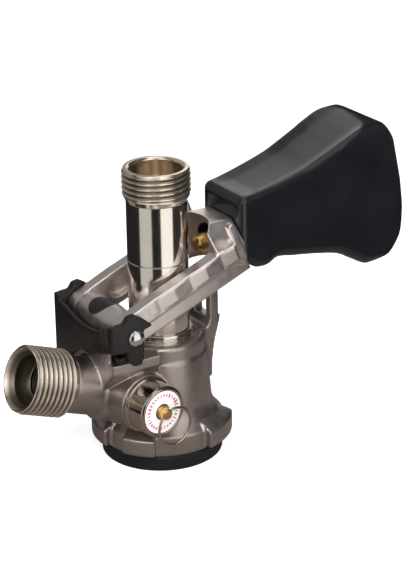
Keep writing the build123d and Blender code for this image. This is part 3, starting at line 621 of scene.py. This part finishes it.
def threaded(name, outline, place, thread_from, thread_to, plain, mouth_shade, body, slot, *nodes):
    """A turned piece whose outside is threaded between two heights, with a plain finish below the thread.

    The number after plain says how much painted shade darkens the inside of the mouth, from 0 to 1.
    """
    obj = turned(name, dense(outline, THREAD_PITCH / THREAD_RINGS), UPRIGHT, THREAD_STEPS)
    fade = THREAD_PITCH * 0.45
    cut = obj.data.attributes.new("cut", "FLOAT", "POINT")
    # the inside attribute holds painted shade for the inside of the mouth, deepest past its rim
    inside = obj.data.attributes.new("inside", "FLOAT", "POINT")
    weights, mouth_shade_values = [], []
    for vertex in obj.data.vertices:
        z = vertex.co.z / MM
        radius = math.hypot(vertex.co.x, vertex.co.y) / MM
        run_in = min(1.0, max(0.0, (z - thread_from) / fade))
        run_out = min(1.0, max(0.0, (thread_to - z) / fade + 0.35))
        weights.append(run_in * run_out if radius > THREAD_R - 1.0 else 0.0)
        mouth_shade_values.append(mouth_shade * min(1.0, max(0.0, (GAS_MOUTH_R + 0.5 - radius) / 1.6)))
    cut.data.foreach_set("value", weights)
    inside.data.foreach_set("value", mouth_shade_values)
    s = shapes()
    grow(obj, TREES["thread"], Pitch=s.thread_pitch, Depth=s.thread_depth, Material=MATERIALS["thread"])
    below = [int(face.center.z < (thread_from - 0.7) * MM) for face in obj.data.polygons]
    obj.data.transform(place)
    shade(obj.data, 60)
    finish(obj, "thread", body, slot, *nodes)
    obj.data.materials.append(MATERIALS[plain])
    obj.data.polygons.foreach_set("material_index", below)


def coil(name, place, radius, wire, height, turns, body, node):
    """A wire spring that stands on its place."""
    spring = add_object(name, bpy.data.meshes.new(name))
    grow(spring, TREES["coil"], Radius=radius * MM, Wire=wire * MM, Height=height * MM, Turns=turns,
         Material=MATERIALS["steel"])
    spring.data.transform(place)
    shade(spring.data)
    finish(spring, "steel", body, "spring_steel", node)


# ---- pieces --------------------------------------------------------------------------------------
# along the gas inlet's axis: where its thread starts, and where the casting is cut for the threaded sleeve
GAS_THREAD_FROM = 41.0
GAS_CUT = 38.9

# right-hand edge (x, z) of the catch tower's foot, beside its rib and on it
TOWER_SIDE = [(20.2, 47.5), (19.6, 44.0), (19.0, 41.5), (17.5, 36.0), (16.8, 31.0), (16.4, 23.0)]
TOWER_RIB = [(22.6, 47.5), (22.4, 44.0), (21.9, 41.5), (19.9, 36.0), (18.4, 31.0), (16.9, 23.0)]
# what is cut off beyond each edge: from y, to y, edge
TOWER_CUTS = ((-9, -2.7, TOWER_SIDE), (-2.9, 2.9, TOWER_RIB), (2.7, 9, TOWER_SIDE))
TOWER_CLEAR_X = 32


def prism(name, outline, y_from, y_to):
    """An upright slab with the outline (x, z) in mm between two y values."""
    bm = bmesh.new()
    near = [bm.verts.new((x * MM, y_from * MM, z * MM)) for x, z in outline]
    far = [bm.verts.new((x * MM, y_to * MM, z * MM)) for x, z in outline]
    faces = [bm.faces.new(near), bm.faces.new(far[::-1])]
    for k in range(len(outline)):
        n = (k + 1) % len(outline)
        faces.append(bm.faces.new((near[k], far[k], far[n], near[n])))
    bmesh.ops.recalc_face_normals(bm, faces=faces)
    mesh = bpy.data.meshes.new(name)
    bm.to_mesh(mesh)
    bm.free()
    return add_object(name, mesh)


def make_body():
    """The casting, softened, with its neck cut for the threaded sleeve and the tower's foot eased."""
    neck = [Vector(p) for p in ((0, GAS_CUT), (14, GAS_CUT), (14, 70), (0, 70))]
    cutters = [turned("neck_cutter", neck, GAS, 48)]
    for y_from, y_to, edge in TOWER_CUTS:
        outline = edge + [(TOWER_CLEAR_X, edge[-1][1]), (TOWER_CLEAR_X, edge[0][1])]
        cutters.append(prism("tower_cutter", outline, y_from, y_to))
    body = cast("body_housing", "cast_body", shapes().body_voxel, 3, cutters)
    finish(body, "casting", "body", "cast_body", "body_housing")
    foot = GAS_CUT - 0.25
    sleeve = [(GAS_BORE_R, foot), (NECK_R, foot), (NECK_R, GAS_THREAD_FROM - 1.6),
              (THREAD_R, GAS_THREAD_FROM), (THREAD_R, GAS_REACH - 0.9), (THREAD_R - 0.9, GAS_REACH),
              (GAS_MOUTH_R + 0.1, GAS_REACH), (GAS_BORE_R, GAS_REACH - 2.6)]
    # 0.94 is the painted shade inside the inlet's mouth
    threaded("gas_thread_sleeve", rounded(sleeve, 0.25), GAS, GAS_THREAD_FROM - 0.6, GAS_REACH - 0.4,
             "casting", 0.94, "body", "cast_body")


def make_seals():
    seal = [(13.0, 0), (20.4, 0), (20.4, 5.4), (16.0, 5.4), (16.0, 8.4), (13.6, 8.4), (13.0, 5.4)]
    lathe("base_ring", seal, 1.1, UPRIGHT, "rubber", "body", "black_rubber", "base_seal", steps=6)
    foot = [(6.82, 1.6), (9.5, 1.6), (9.7, 3.6), (8.6, 7.3), (6.82, 7.3)]
    lathe("probe_foot", foot, 0.5, UPRIGHT, "rubber", "probe", "black_rubber", "probe_seal")
    repaint("rubber", "gland_orings", "probe_oring", "relief_seat")


def make_gland():
    nut = [(10.2, 38.8), (12.25, 38.8), (12.25, 42), (11.2, 42), (11.2, 42.7), (10.85, 42.9), (10.85, 43.3),
           (11.2, 43.5), (10.9, 44.4), (10.2, 44.4)]
    lathe("gland_ring", nut, 0.18, UPRIGHT, "polished", "body", "polished_tube", "gland_nut")


def make_gas_valve():
    ring = [(5.6, 47.0), (7.93, 47.0), (7.93, 48.6), (5.6, 48.6)]
    lathe("valve_ledge", ring, 0.3, GAS, "casing", "body", "bright_casing", "gas_valve_seat")
    check = softened("gas_check_valve", "check_rubber")
    finish(check, "rubber", "body", "black_rubber", "gas_check_valve")


def make_hinge():
    bracket = cast("hinge_bracket", "soft_bracket", shapes().lever_voxel, 9)
    finish(bracket, "bracket", "body", "bracket_plastic", "hinge_bracket")
    pin = [(0, -21.2), (2.0, -21.2), (2.4, -20.8), (2.4, 19.5), (2.85, 19.5), (2.85, 20.0), (2.4, 20.6),
           (1.4, 21.05), (0, 21.2)]
    lathe("domed_pin", pin, 0.5, HINGE, "steel", "body", "pin_steel", "hinge_pin", steps=5)
    finish(softened("pin_clip", "spring_clip", 0.1), "steel", "body", "spring_steel", "pin_clip")
    screws = softened("bracket_screws", "socket_screws", 0.15)
    finish(screws, "dark_steel", "body", "screw_steel", "bracket_screws")


# facets on the outside of the arms: their pitch and height, and where they lie along and across an arm
FACET_PITCH = 13.0
FACET_RISE = 0.5
FACET_U = (9.0, 45.0)
FACET_W = (0.1, 5.7)
POCKET_EDGE = 0.35


def paint_pocket_shade(mesh):
    """Gives the walls of the bolt's pocket, which see little light, the attribute for their painted shade."""
    to_bolt = BOLT.inverted()
    mark = mesh.attributes.new("pocket", "FLOAT", "POINT")
    for vertex in mesh.vertices:
        p = to_bolt @ vertex.co / MM
        within = (POCKET_R + POCKET_EDGE - math.hypot(p.x, p.y)) / POCKET_EDGE
        mark.data[vertex.index].value = min(1, max(0, within)) if p.z < -1 else 0


def facet_arms(mesh):
    """Gives the upper half of each arm's outside its row of shallow facets."""
    to_lever = LEVER.inverted()
    for vertex in mesh.vertices:
        u, _, w = (to_lever @ vertex.co) / MM
        y = vertex.co.y / MM
        if abs(y) < ARM_OUT - 0.22 or not FACET_U[0] < u < FACET_U[1] or not FACET_W[0] < w < FACET_W[1]:
            continue
        facet = 1 - abs(2 * ((u / FACET_PITCH) % 1.0) - 1)
        fade = min(1.0, (u - FACET_U[0]) / 3) * min(1.0, (w - FACET_W[0]) / 0.5, (FACET_W[1] - w) / 0.5)
        vertex.co.y = math.copysign(ARM_OUT - 0.05 + FACET_RISE * facet * fade, y) * MM


def make_lever():
    yoke = cast("lever_yoke", "cast_lever", shapes().lever_voxel, 2)
    facet_arms(yoke.data)
    # painted shade on the walls of the bolt's pocket
    paint_pocket_shade(yoke.data)
    finish(yoke, "lever", "lever", "lever_casting", "lever_yoke")
    repaint("brass", "neck_bush")
    coil("latch_coil", BOLT @ spot((0, 0, 1.6)), 3.65, 0.45, 16.0, 7.0, "lever", "latch_spring")


# the grip's sections: p, low q, high q, half width, corner radius at the top, corner radius below
GRIP_RINGS = [
    (-4.0, -6.4, 9.8, 11.4, 2.0, 2.6),
    (-0.6, -11.8, 10.1, 11.8, 2.0, 3.0),
    (3.7, -16.3, 10.3, 12.0, 2.0, 3.2),
    (7.2, -17.0, 10.2, 12.2, 2.1, 3.4),
    (11.1, -16.0, 10.2, 12.4, 2.1, 3.6),
    (17.9, -18.2, 10.4, 12.9, 2.2, 4.0),
    (26.7, -21.4, 11.1, 13.4, 2.4, 4.3),
    (35.1, -25.2, 12.8, 13.9, 2.6, 4.6),
    (40.3, -29.6, 14.0, 14.3, 2.8, 4.8),
    (45.3, -33.3, 15.3, 14.7, 3.0, 5.0),
    (52.3, -33.8, 16.6, 15.0, 3.4, 5.2),
    (58.4, -29.6, 15.9, 14.8, 3.8, 5.2),
    (61.6, -22.0, 13.9, 14.0, 4.2, 5.0),
    (63.9, -12.6, 10.6, 12.2, 4.4, 4.6),
]
GRIP_FRONT_P = (GRIP_FRONT_X - GRIP_ORIGIN[0]) / math.cos(math.radians(GRIP_TILT))
GRIP_EDGE = 2.3
LEAN_LENGTH = 14
THUMB_DISH = 0.9


def eased_row(p):
    """The grip's section sizes at p, from the rings on either side, without overshoot."""
    rings = GRIP_RINGS
    index = max(i for i in range(len(rings) - 1) if rings[i][0] <= p + 1e-9)
    here, after = rings[index], rings[index + 1]
    span = after[0] - here[0]
    t = (p - here[0]) / span
    row = []
    for column in range(1, 6):
        step = (after[column] - here[column]) / span
        slopes = []
        for i in (index, index + 1):
            if i in (0, len(rings) - 1):
                slopes.append(step)
                continue
            left = (rings[i][column] - rings[i - 1][column]) / (rings[i][0] - rings[i - 1][0])
            right = (rings[i + 1][column] - rings[i][column]) / (rings[i + 1][0] - rings[i][0])
            slopes.append(0.0 if left * right <= 0 else 2 * left * right / (left + right))
        a, b = slopes
        value = ((2 * t ** 3 - 3 * t ** 2 + 1) * here[column] + (t ** 3 - 2 * t ** 2 + t) * span * a
                 + (3 * t ** 2 - 2 * t ** 3) * after[column] + (t ** 3 - t ** 2) * span * b)
        row.append(value)
    return row


def grip_level(p, lean, column):
    """The height of the top or underside where the leaning section at p meets it."""
    q = eased_row(p)[column]
    for _ in range(5):
        q = eased_row(max(GRIP_RINGS[0][0], p + lean * q))[column]
    return q


def grip_ring(p, sides=10, corner=8):
    """The points (p, y, q) of one section. Near the front they lean until they stand upright."""
    t = min(1.0, max(0.0, (p - GRIP_FRONT_P) / LEAN_LENGTH))
    lean = math.tan(math.radians(GRIP_TILT)) * (1 - t * t * (3 - 2 * t))
    low, high = grip_level(p, lean, 0), grip_level(p, lean, 1)
    half, r_top, r_low = eased_row(p)[2:]
    depth = max(0.0, GRIP_EDGE - (p - GRIP_FRONT_P))
    inset = GRIP_EDGE - math.sqrt(GRIP_EDGE ** 2 - min(depth, GRIP_EDGE) ** 2)
    low, high, half = low + inset, high - inset, half - inset
    r_top, r_low = max(0.8, r_top - inset), max(0.8, r_low - inset)
    points = []
    corners = ((1, 1, r_top, 0), (1, -1, r_low, -90), (-1, -1, r_low, -180), (-1, 1, r_top, -270))
    for sy, sq, r, start in corners:
        centre = Vector((sy * (half - r), (high - r) if sq > 0 else (low + r)))
        for k in range(corner + 1):
            a = math.radians(90 + start - 90 * k / corner)
            points.append(centre + Vector((math.cos(a), math.sin(a))) * r)
    out = []
    for i, here in enumerate(points):
        after = points[(i + 1) % len(points)]
        out.append(here)
        if (i + 1) % (corner + 1) == 0:
            out.extend(here.lerp(after, k / sides) for k in range(1, sides))
    dish = THUMB_DISH * min(1.0, max(0.0, (p - 2) / 8)) * min(1.0, max(0.0, (60 - p) / 8))
    for point in out:
        inside = half - r_top * 0.75 - abs(point.x)
        if point.y > high - 0.6 and inside > 0:
            point.y -= dish * min(1.0, inside / 1.6) ** 2 * (1 + 0.5 * (1 - (point.x / half) ** 2))
    return [Vector((p + lean * q.y, q.x, q.y)) for q in out]


def grip_cap(bm, ring, offsets):
    """Closes an end of the grip with rings drawn in to a point."""
    centre = sum((v.co for v in ring), Vector()) / len(ring)
    last = ring
    for fraction, bulge in offsets:
        out = Vector((bulge * MM, 0, 0))
        inner = [bm.verts.new(centre + (v.co - centre) * fraction + out) for v in ring]
        for k in range(len(ring)):
            n = (k + 1) % len(ring)
            bm.faces.new((last[k], last[n], inner[n], inner[k]))
        last = inner
    tip = bm.verts.new(centre + Vector((offsets[-1][1] * MM, 0, 0)))
    for k in range(len(last)):
        bm.faces.new((last[k], last[(k + 1) % len(last)], tip))


def make_grip():
    """The moulded grip, lofted through its rings from an upright front face with a rounded edge."""
    stations = [GRIP_FRONT_P + GRIP_EDGE * (1 - math.cos(math.radians(15 * k))) for k in range(6)]
    start = GRIP_FRONT_P + GRIP_EDGE
    stations += [start + (GRIP_RINGS[-1][0] - start) * k / 84 for k in range(85)]
    bm = bmesh.new()
    rear = GRIP_RINGS[-1][0] - 1e-6
    loops = [[bm.verts.new(point * MM) for point in grip_ring(min(p, rear))] for p in stations]
    for low, high in zip(loops, loops[1:]):
        for k in range(len(low)):
            n = (k + 1) % len(low)
            bm.faces.new((low[k], low[n], high[n], high[k]))
    grip_cap(bm, loops[0], ((0.5, 0.0), (0.2, 0.0)))
    grip_cap(bm, loops[-1], ((0.75, 0.4), (0.4, 0.6)))
    bm.transform(GRIP)
    bmesh.ops.recalc_face_normals(bm, faces=bm.faces)
    mesh = bpy.data.meshes.new("soft_grip")
    bm.to_mesh(mesh)
    bm.free()
    obj = add_object("soft_grip", mesh)
    shade(mesh, 50)
    finish(obj, "grip", "grip", "grip_plastic", "handle_grip")
    repaint("steel", "grip_pin")


def make_latch_bolt():
    bolt = [(0, -12.6), (2.05, -12.6), (3.25, -11.4), (3.25, -0.5), (4.3, -0.5), (4.3, 1.05), (2.5, 1.05),
            (2.5, 40.0), (0, 40.0)]
    lathe("brass_bolt", bolt, 0.2, BOLT, "brass", "grip", "brass", "latch_bolt")


def make_probe():
    spout = [(6.6, 63.0), (9.0, 63.0), (9.0, 68.4), (9.9, 68.4), (PROBE_R, 68.6), (PROBE_R, 89.0),
             (THREAD_R, 91.6), (THREAD_R, 99.3), (10.655, 100.1), (9.5, 100.1), (8.8, 99.4), (8.8, 88.1),
             (6.6, 82.1)]
    threaded("threaded_spout", rounded(spout, 0.25), UPRIGHT, 90.7, 99.6, "polished", 0.0, "probe",
             "polished_tube", "outlet_spout")
    tube = [(3.8, 2.4), (6.8, 2.4), (6.8, 7.4), (8.6, 7.4), (8.6, 23.8), (PROBE_R, 25), (PROBE_R, 68.2),
            (9.9, 68.4), (9.02, 68.4), (9.02, 62.8), (5.5, 62.8), (5.5, 28), (3.8, 28)]
    lathe("polished_probe", tube, 0.15, UPRIGHT, "polished", "probe", "polished_tube", "probe_tube")
    repaint("steel", "trunnion_pins")
    repaint("white", "check_ball", "ball_retainer")


def make_relief():
    shell = [(1.5, -14.1), (6.4, -14.1), (6.4, -9.1), (9.4, -9.1), (9.4, -7.9), (8.7, -7.6), (8.7, -0.7),
             (8.1, 0), (7.4, 0), (7.4, -0.7), (2.35, -0.7), (2.35, -2.3), (5.2, -2.3), (5.2, -13.4),
             (1.5, -13.4)]
    lathe("relief_casing", shell, 0.3, RELIEF, "casing", "body", "bright_casing", "relief_body")
    card = [(2.8, -0.7), (7.3, -0.7), (7.3, -0.3), (2.8, -0.3)]
    lathe("label_disc", card, 0.08, RELIEF, "label", "body", "label_white", "relief_label")
    marks = add_object("label_marks", bpy.data.meshes.new("label_marks"))
    grow(marks, TREES["marks"], Radius=5.75 * MM, Count=shapes().label_marks, Width=1.35 * MM,
         Length=0.62 * MM, Height=0.04 * MM, Material=MATERIALS["print"])
    marks.data.transform(RELIEF @ spot((0, 0, -0.29)))
    finish(marks, "print", "body", "label_white")
    stem = [(0, -12.6), (1.6, -12.6), (1.6, -7.1), (2.3, -7.1), (2.3, -0.3), (1.9, 0.1), (1.9, 2.2),
            (1.5, 2.6), (0, 2.6)]
    lathe("brass_stem", stem, 0.3, RELIEF, "brass", "relief_valve", "brass", "relief_stem", segments=64)
    repaint("brass", "relief_poppet")
    coil("relief_coil", RELIEF @ spot((0, 0, -12.0)), 4.25, 0.45, 9.2, 5.0, "relief_valve", "relief_spring")


def make_pull_ring():
    """The wire ring, which hangs from the stem's cross hole."""
    wire, radius = shapes().ring_wire / MM, shapes().ring_radius / MM
    angles = [math.tau * k / 16 for k in range(16)]
    section = [Vector((radius + wire * math.cos(a), wire * math.sin(a))) for a in angles]
    hang = RELIEF @ turn(PULL_HANG, "Z") @ spot((0, -radius, PULL_HOLE_S))
    finish(turned("wire_ring", section, hang, 96), "wire", "ring", "pin_steel", "pull_ring")


# ---- stage ---------------------------------------------------------------------------------------
def emission(name, strength, tone):
    """A surface that only glows."""
    material = bpy.data.materials.new(name)
    material.use_nodes = True
    tree = material.node_tree
    tree.nodes.clear()
    glow = tree.nodes.new("ShaderNodeEmission")
    glow.inputs["Color"].default_value = (*tone, 1)
    glow.inputs["Strength"].default_value = strength
    output = tree.nodes.new("ShaderNodeOutputMaterial")
    tree.links.new(glow.outputs[0], output.inputs["Surface"])
    return material


FLOOR_TONE = (0.80, 0.80, 0.80)
FLOOR_IN_METAL = (0.22, 0.19, 0.17)
FLOOR_GLOW = 0.62


def make_floor():
    """A pale floor that keeps its shadow, darker where metal mirrors it."""
    bm = bmesh.new()
    bmesh.ops.create_grid(bm, x_segments=1, y_segments=1, size=3.0)
    mesh = bpy.data.meshes.new("floor")
    bm.to_mesh(mesh)
    bm.free()
    floor = add_object("floor", mesh)
    material = bpy.data.materials.new("studio_floor")
    material.use_nodes = True
    tree = material.node_tree
    bsdf = tree.nodes["Principled BSDF"]
    bsdf.inputs["Roughness"].default_value = 0.9
    bsdf.inputs["Emission Color"].default_value = (1, 1, 1, 1)
    path = tree.nodes.new("ShaderNodeLightPath")
    tone = tree.nodes.new("ShaderNodeMix")
    tone.data_type = "RGBA"
    tone.inputs[6].default_value = (*FLOOR_TONE, 1)
    tone.inputs[7].default_value = (*FLOOR_IN_METAL, 1)
    tree.links.new(path.outputs["Is Glossy Ray"], tone.inputs["Factor"])
    tree.links.new(tone.outputs[2], bsdf.inputs["Base Color"])
    seen = tree.nodes.new("ShaderNodeMath")
    seen.operation = "MULTIPLY"
    seen.inputs[1].default_value = FLOOR_GLOW
    tree.links.new(path.outputs["Is Camera Ray"], seen.inputs[0])
    tree.links.new(seen.outputs[0], bsdf.inputs["Emission Strength"])
    mesh.materials.append(material)


PANEL_R = 0.125
PANEL_SPLIT = 0.075
PANEL_TOP = 0.45
PANEL_TONE = (1.0, 0.975, 0.94)
# start and end in degrees from the camera towards its right, then brightness below and above the split
PANELS = [(-180, -84, 0.02, 0.30), (-84, -66, 0.02, 0.05), (-66, -20, 0.62, 0.55), (-20, 13, 0.02, 0.05),
          (13, 57, 1.2, 1.0), (57, 150, 0.03, 0.05), (150, 180, 0.75, 0.9)]


def make_panels(azimuth):
    """Upright reflectors and flags round the piece that only polished metal sees."""
    levels = ((0.001, PANEL_SPLIT, 2), (PANEL_SPLIT, PANEL_TOP, 3))
    for number, panel in enumerate(PANELS):
        start, end = panel[:2]
        steps = max(2, int((end - start) / 6))
        for low, high, column in levels:
            bm = bmesh.new()
            rows = []
            for k in range(steps + 1):
                a = math.radians(azimuth - 90 + start + (end - start) * k / steps)
                x, y = PANEL_R * math.cos(a), PANEL_R * math.sin(a)
                rows.append((bm.verts.new((x, y, low)), bm.verts.new((x, y, high))))
            for a, b in zip(rows, rows[1:]):
                bm.faces.new((a[0], b[0], b[1], a[1]))
            name = f"panel_{number}_{column}"
            mesh = bpy.data.meshes.new(name)
            bm.to_mesh(mesh)
            bm.free()
            mesh.materials.append(emission(name, panel[column], PANEL_TONE))
            screen = add_object(name, mesh)
            screen.visible_camera = False
            screen.visible_diffuse = False
            screen.visible_shadow = False
            screen.visible_transmission = False


def area_light(name, location, target, size, power):
    """A rectangular light that faces its target."""
    data = bpy.data.lights.new(name, "AREA")
    data.shape = "RECTANGLE"
    data.size, data.size_y = size
    data.energy = power
    lamp = bpy.data.objects.new(name, data)
    bpy.context.scene.collection.objects.link(lamp)
    lamp.location = location
    lamp.rotation_euler = (Vector(target) - Vector(location)).to_track_quat("-Z", "Y").to_euler()


def make_world(ambient):
    """White as a backdrop and in reflections, dimmer as a light."""
    world = bpy.data.worlds.new("studio")
    bpy.context.scene.world = world
    world.use_nodes = True
    tree = world.node_tree
    background = tree.nodes["Background"]
    background.inputs["Color"].default_value = (1, 1, 1, 1)
    path = tree.nodes.new("ShaderNodeLightPath")
    either = tree.nodes.new("ShaderNodeMath")
    either.operation = "MAXIMUM"
    also = tree.nodes.new("ShaderNodeMath")
    also.operation = "MAXIMUM"
    strength = tree.nodes.new("ShaderNodeMapRange")
    strength.inputs["To Min"].default_value = ambient
    strength.inputs["To Max"].default_value = 1.0
    tree.links.new(path.outputs["Is Camera Ray"], either.inputs[0])
    tree.links.new(path.outputs["Is Glossy Ray"], either.inputs[1])
    tree.links.new(either.outputs[0], also.inputs[0])
    tree.links.new(path.outputs["Is Transmission Ray"], also.inputs[1])
    tree.links.new(also.outputs[0], strength.inputs["Value"])
    tree.links.new(strength.outputs["Result"], background.inputs["Strength"])


AIM_POINT = (0, 0, 0.050)
# the aim point's place in the frame, from its middle, as a share of the lens length
AIM_RIGHT = 0.021342
AIM_UP = 0.010252


def make_camera(s):
    """The camera, off centre from the aim point and rolled a little."""
    a, e, r = (math.radians(v) for v in (s.azimuth, s.elevation, s.roll))
    back = Vector((math.sin(a) * math.cos(e), -math.cos(a) * math.cos(e), math.sin(e)))
    right = Vector((math.cos(a), math.sin(a), 0))
    up = back.cross(right)
    right, up = right * math.cos(r) + up * math.sin(r), up * math.cos(r) - right * math.sin(r)
    place = Vector(AIM_POINT) + back * s.distance
    forward = (-back + right * AIM_RIGHT + up * AIM_UP).normalized()
    side = forward.cross(up).normalized()
    level = side.cross(forward)
    data = bpy.data.cameras.new("camera")
    data.lens = s.lens
    camera = bpy.data.objects.new("camera", data)
    bpy.context.scene.collection.objects.link(camera)
    facing = Matrix((side, level, -forward)).transposed().to_4x4()
    camera.matrix_world = Matrix.Translation(place) @ facing
    bpy.context.scene.camera = camera


# ---- operators -----------------------------------------------------------------------------------
class Piece:
    """What the operators share."""
    bl_options = {"REGISTER", "UNDO"}
    makes = ()

    def execute(self, context):
        for make in self.makes:
            make()
        return {"FINISHED"}


class COUPLER_OT_materials(bpy.types.Operator):
    """Build the finishes and the geometry node trees"""
    bl_idname = "coupler.materials"
    bl_label = "Finishes and Trees"

    def execute(self, context):
        MATERIALS.update(make_materials())
        TREES.update(thread=thread_tree(), coil=coil_tree(), marks=marks_tree())
        return {"FINISHED"}


class COUPLER_OT_body(Piece, bpy.types.Operator):
    """Build the cast body with its threaded gas inlet"""
    bl_idname = "coupler.body"
    bl_label = "Body"
    makes = (make_body,)


class COUPLER_OT_seals(Piece, bpy.types.Operator):
    """Build the base seal, the probe's foot and the gland"""
    bl_idname = "coupler.seals"
    bl_label = "Seals and Gland"
    makes = (make_seals, make_gland)


class COUPLER_OT_gas_valve(Piece, bpy.types.Operator):
    """Build the check valve inside the gas inlet"""
    bl_idname = "coupler.gas_valve"
    bl_label = "Gas Valve"
    makes = (make_gas_valve,)


class COUPLER_OT_hinge(Piece, bpy.types.Operator):
    """Build the hinge bracket, its pin, clip and screws"""
    bl_idname = "coupler.hinge"
    bl_label = "Hinge"
    makes = (make_hinge,)


class COUPLER_OT_lever(Piece, bpy.types.Operator):
    """Build the cast lever and the spring in its neck"""
    bl_idname = "coupler.lever"
    bl_label = "Lever"
    makes = (make_lever,)


class COUPLER_OT_grip(Piece, bpy.types.Operator):
    """Build the moulded grip and the latch bolt"""
    bl_idname = "coupler.grip"
    bl_label = "Grip and Bolt"
    makes = (make_grip, make_latch_bolt)


class COUPLER_OT_probe(Piece, bpy.types.Operator):
    """Build the polished probe and its threaded spout"""
    bl_idname = "coupler.probe"
    bl_label = "Probe"
    makes = (make_probe,)


class COUPLER_OT_relief(Piece, bpy.types.Operator):
    """Build the relief valve with its label, stem and pull ring"""
    bl_idname = "coupler.relief"
    bl_label = "Relief Valve"
    makes = (make_relief, make_pull_ring)


class COUPLER_OT_stage(bpy.types.Operator):
    """Build the floor, the lights, the reflectors and the camera"""
    bl_idname = "coupler.stage"
    bl_label = "Stage"

    def execute(self, context):
        s = context.scene.coupler_stage
        context.scene.view_settings.view_transform = "Standard"
        make_world(s.ambient)
        make_floor()
        make_panels(s.azimuth)
        area_light("key", (-0.42, -0.48, 0.58), AIM_POINT, (0.5, 0.5), s.key)
        area_light("fill", (0.6, -0.35, 0.35), AIM_POINT, (0.4, 0.5), s.fill)
        area_light("edge", (0.33, -0.23, 0.55), (0.05, 0, 0.09), (0.16, 0.16), s.edge)
        make_camera(s)
        return {"FINISHED"}


class COUPLER_PT_panel(bpy.types.Panel):
    """Lists the coupler's pieces and settings"""
    bl_idname = "COUPLER_PT_panel"
    bl_label = "Keg Coupler"
    bl_space_type = "VIEW_3D"
    bl_region_type = "UI"
    bl_category = "Coupler"

    def draw(self, context):
        for operator in OPERATORS:
            self.layout.operator(operator.bl_idname)
        for group in (context.scene.coupler_finish, context.scene.coupler_shape, context.scene.coupler_stage):
            box = self.layout.box()
            for name in group.__annotations__:
                box.prop(group, name)


OPERATORS = (COUPLER_OT_materials, COUPLER_OT_body, COUPLER_OT_seals, COUPLER_OT_gas_valve, COUPLER_OT_hinge,
             COUPLER_OT_lever, COUPLER_OT_grip, COUPLER_OT_probe, COUPLER_OT_relief, COUPLER_OT_stage)
CLASSES = (FinishSettings, ShapeSettings, StageSettings, *OPERATORS, COUPLER_PT_panel)


def register():
    for cls in CLASSES:
        bpy.utils.register_class(cls)
    bpy.types.Scene.coupler_finish = PointerProperty(type=FinishSettings)
    bpy.types.Scene.coupler_shape = PointerProperty(type=ShapeSettings)
    bpy.types.Scene.coupler_stage = PointerProperty(type=StageSettings)


def unregister():
    del bpy.types.Scene.coupler_stage
    del bpy.types.Scene.coupler_shape
    del bpy.types.Scene.coupler_finish
    for cls in reversed(CLASSES):
        bpy.utils.unregister_class(cls)


def plain(bounds):
    """Bounds as lists of rounded numbers."""
    return [[round(float(c), 6) for c in corner] for corner in bounds]


def main():
    register()
    for operator in OPERATORS:
        space, name = operator.bl_idname.split(".")
        getattr(getattr(bpy.ops, space), name)()


if __name__ == "__main__":
    main()
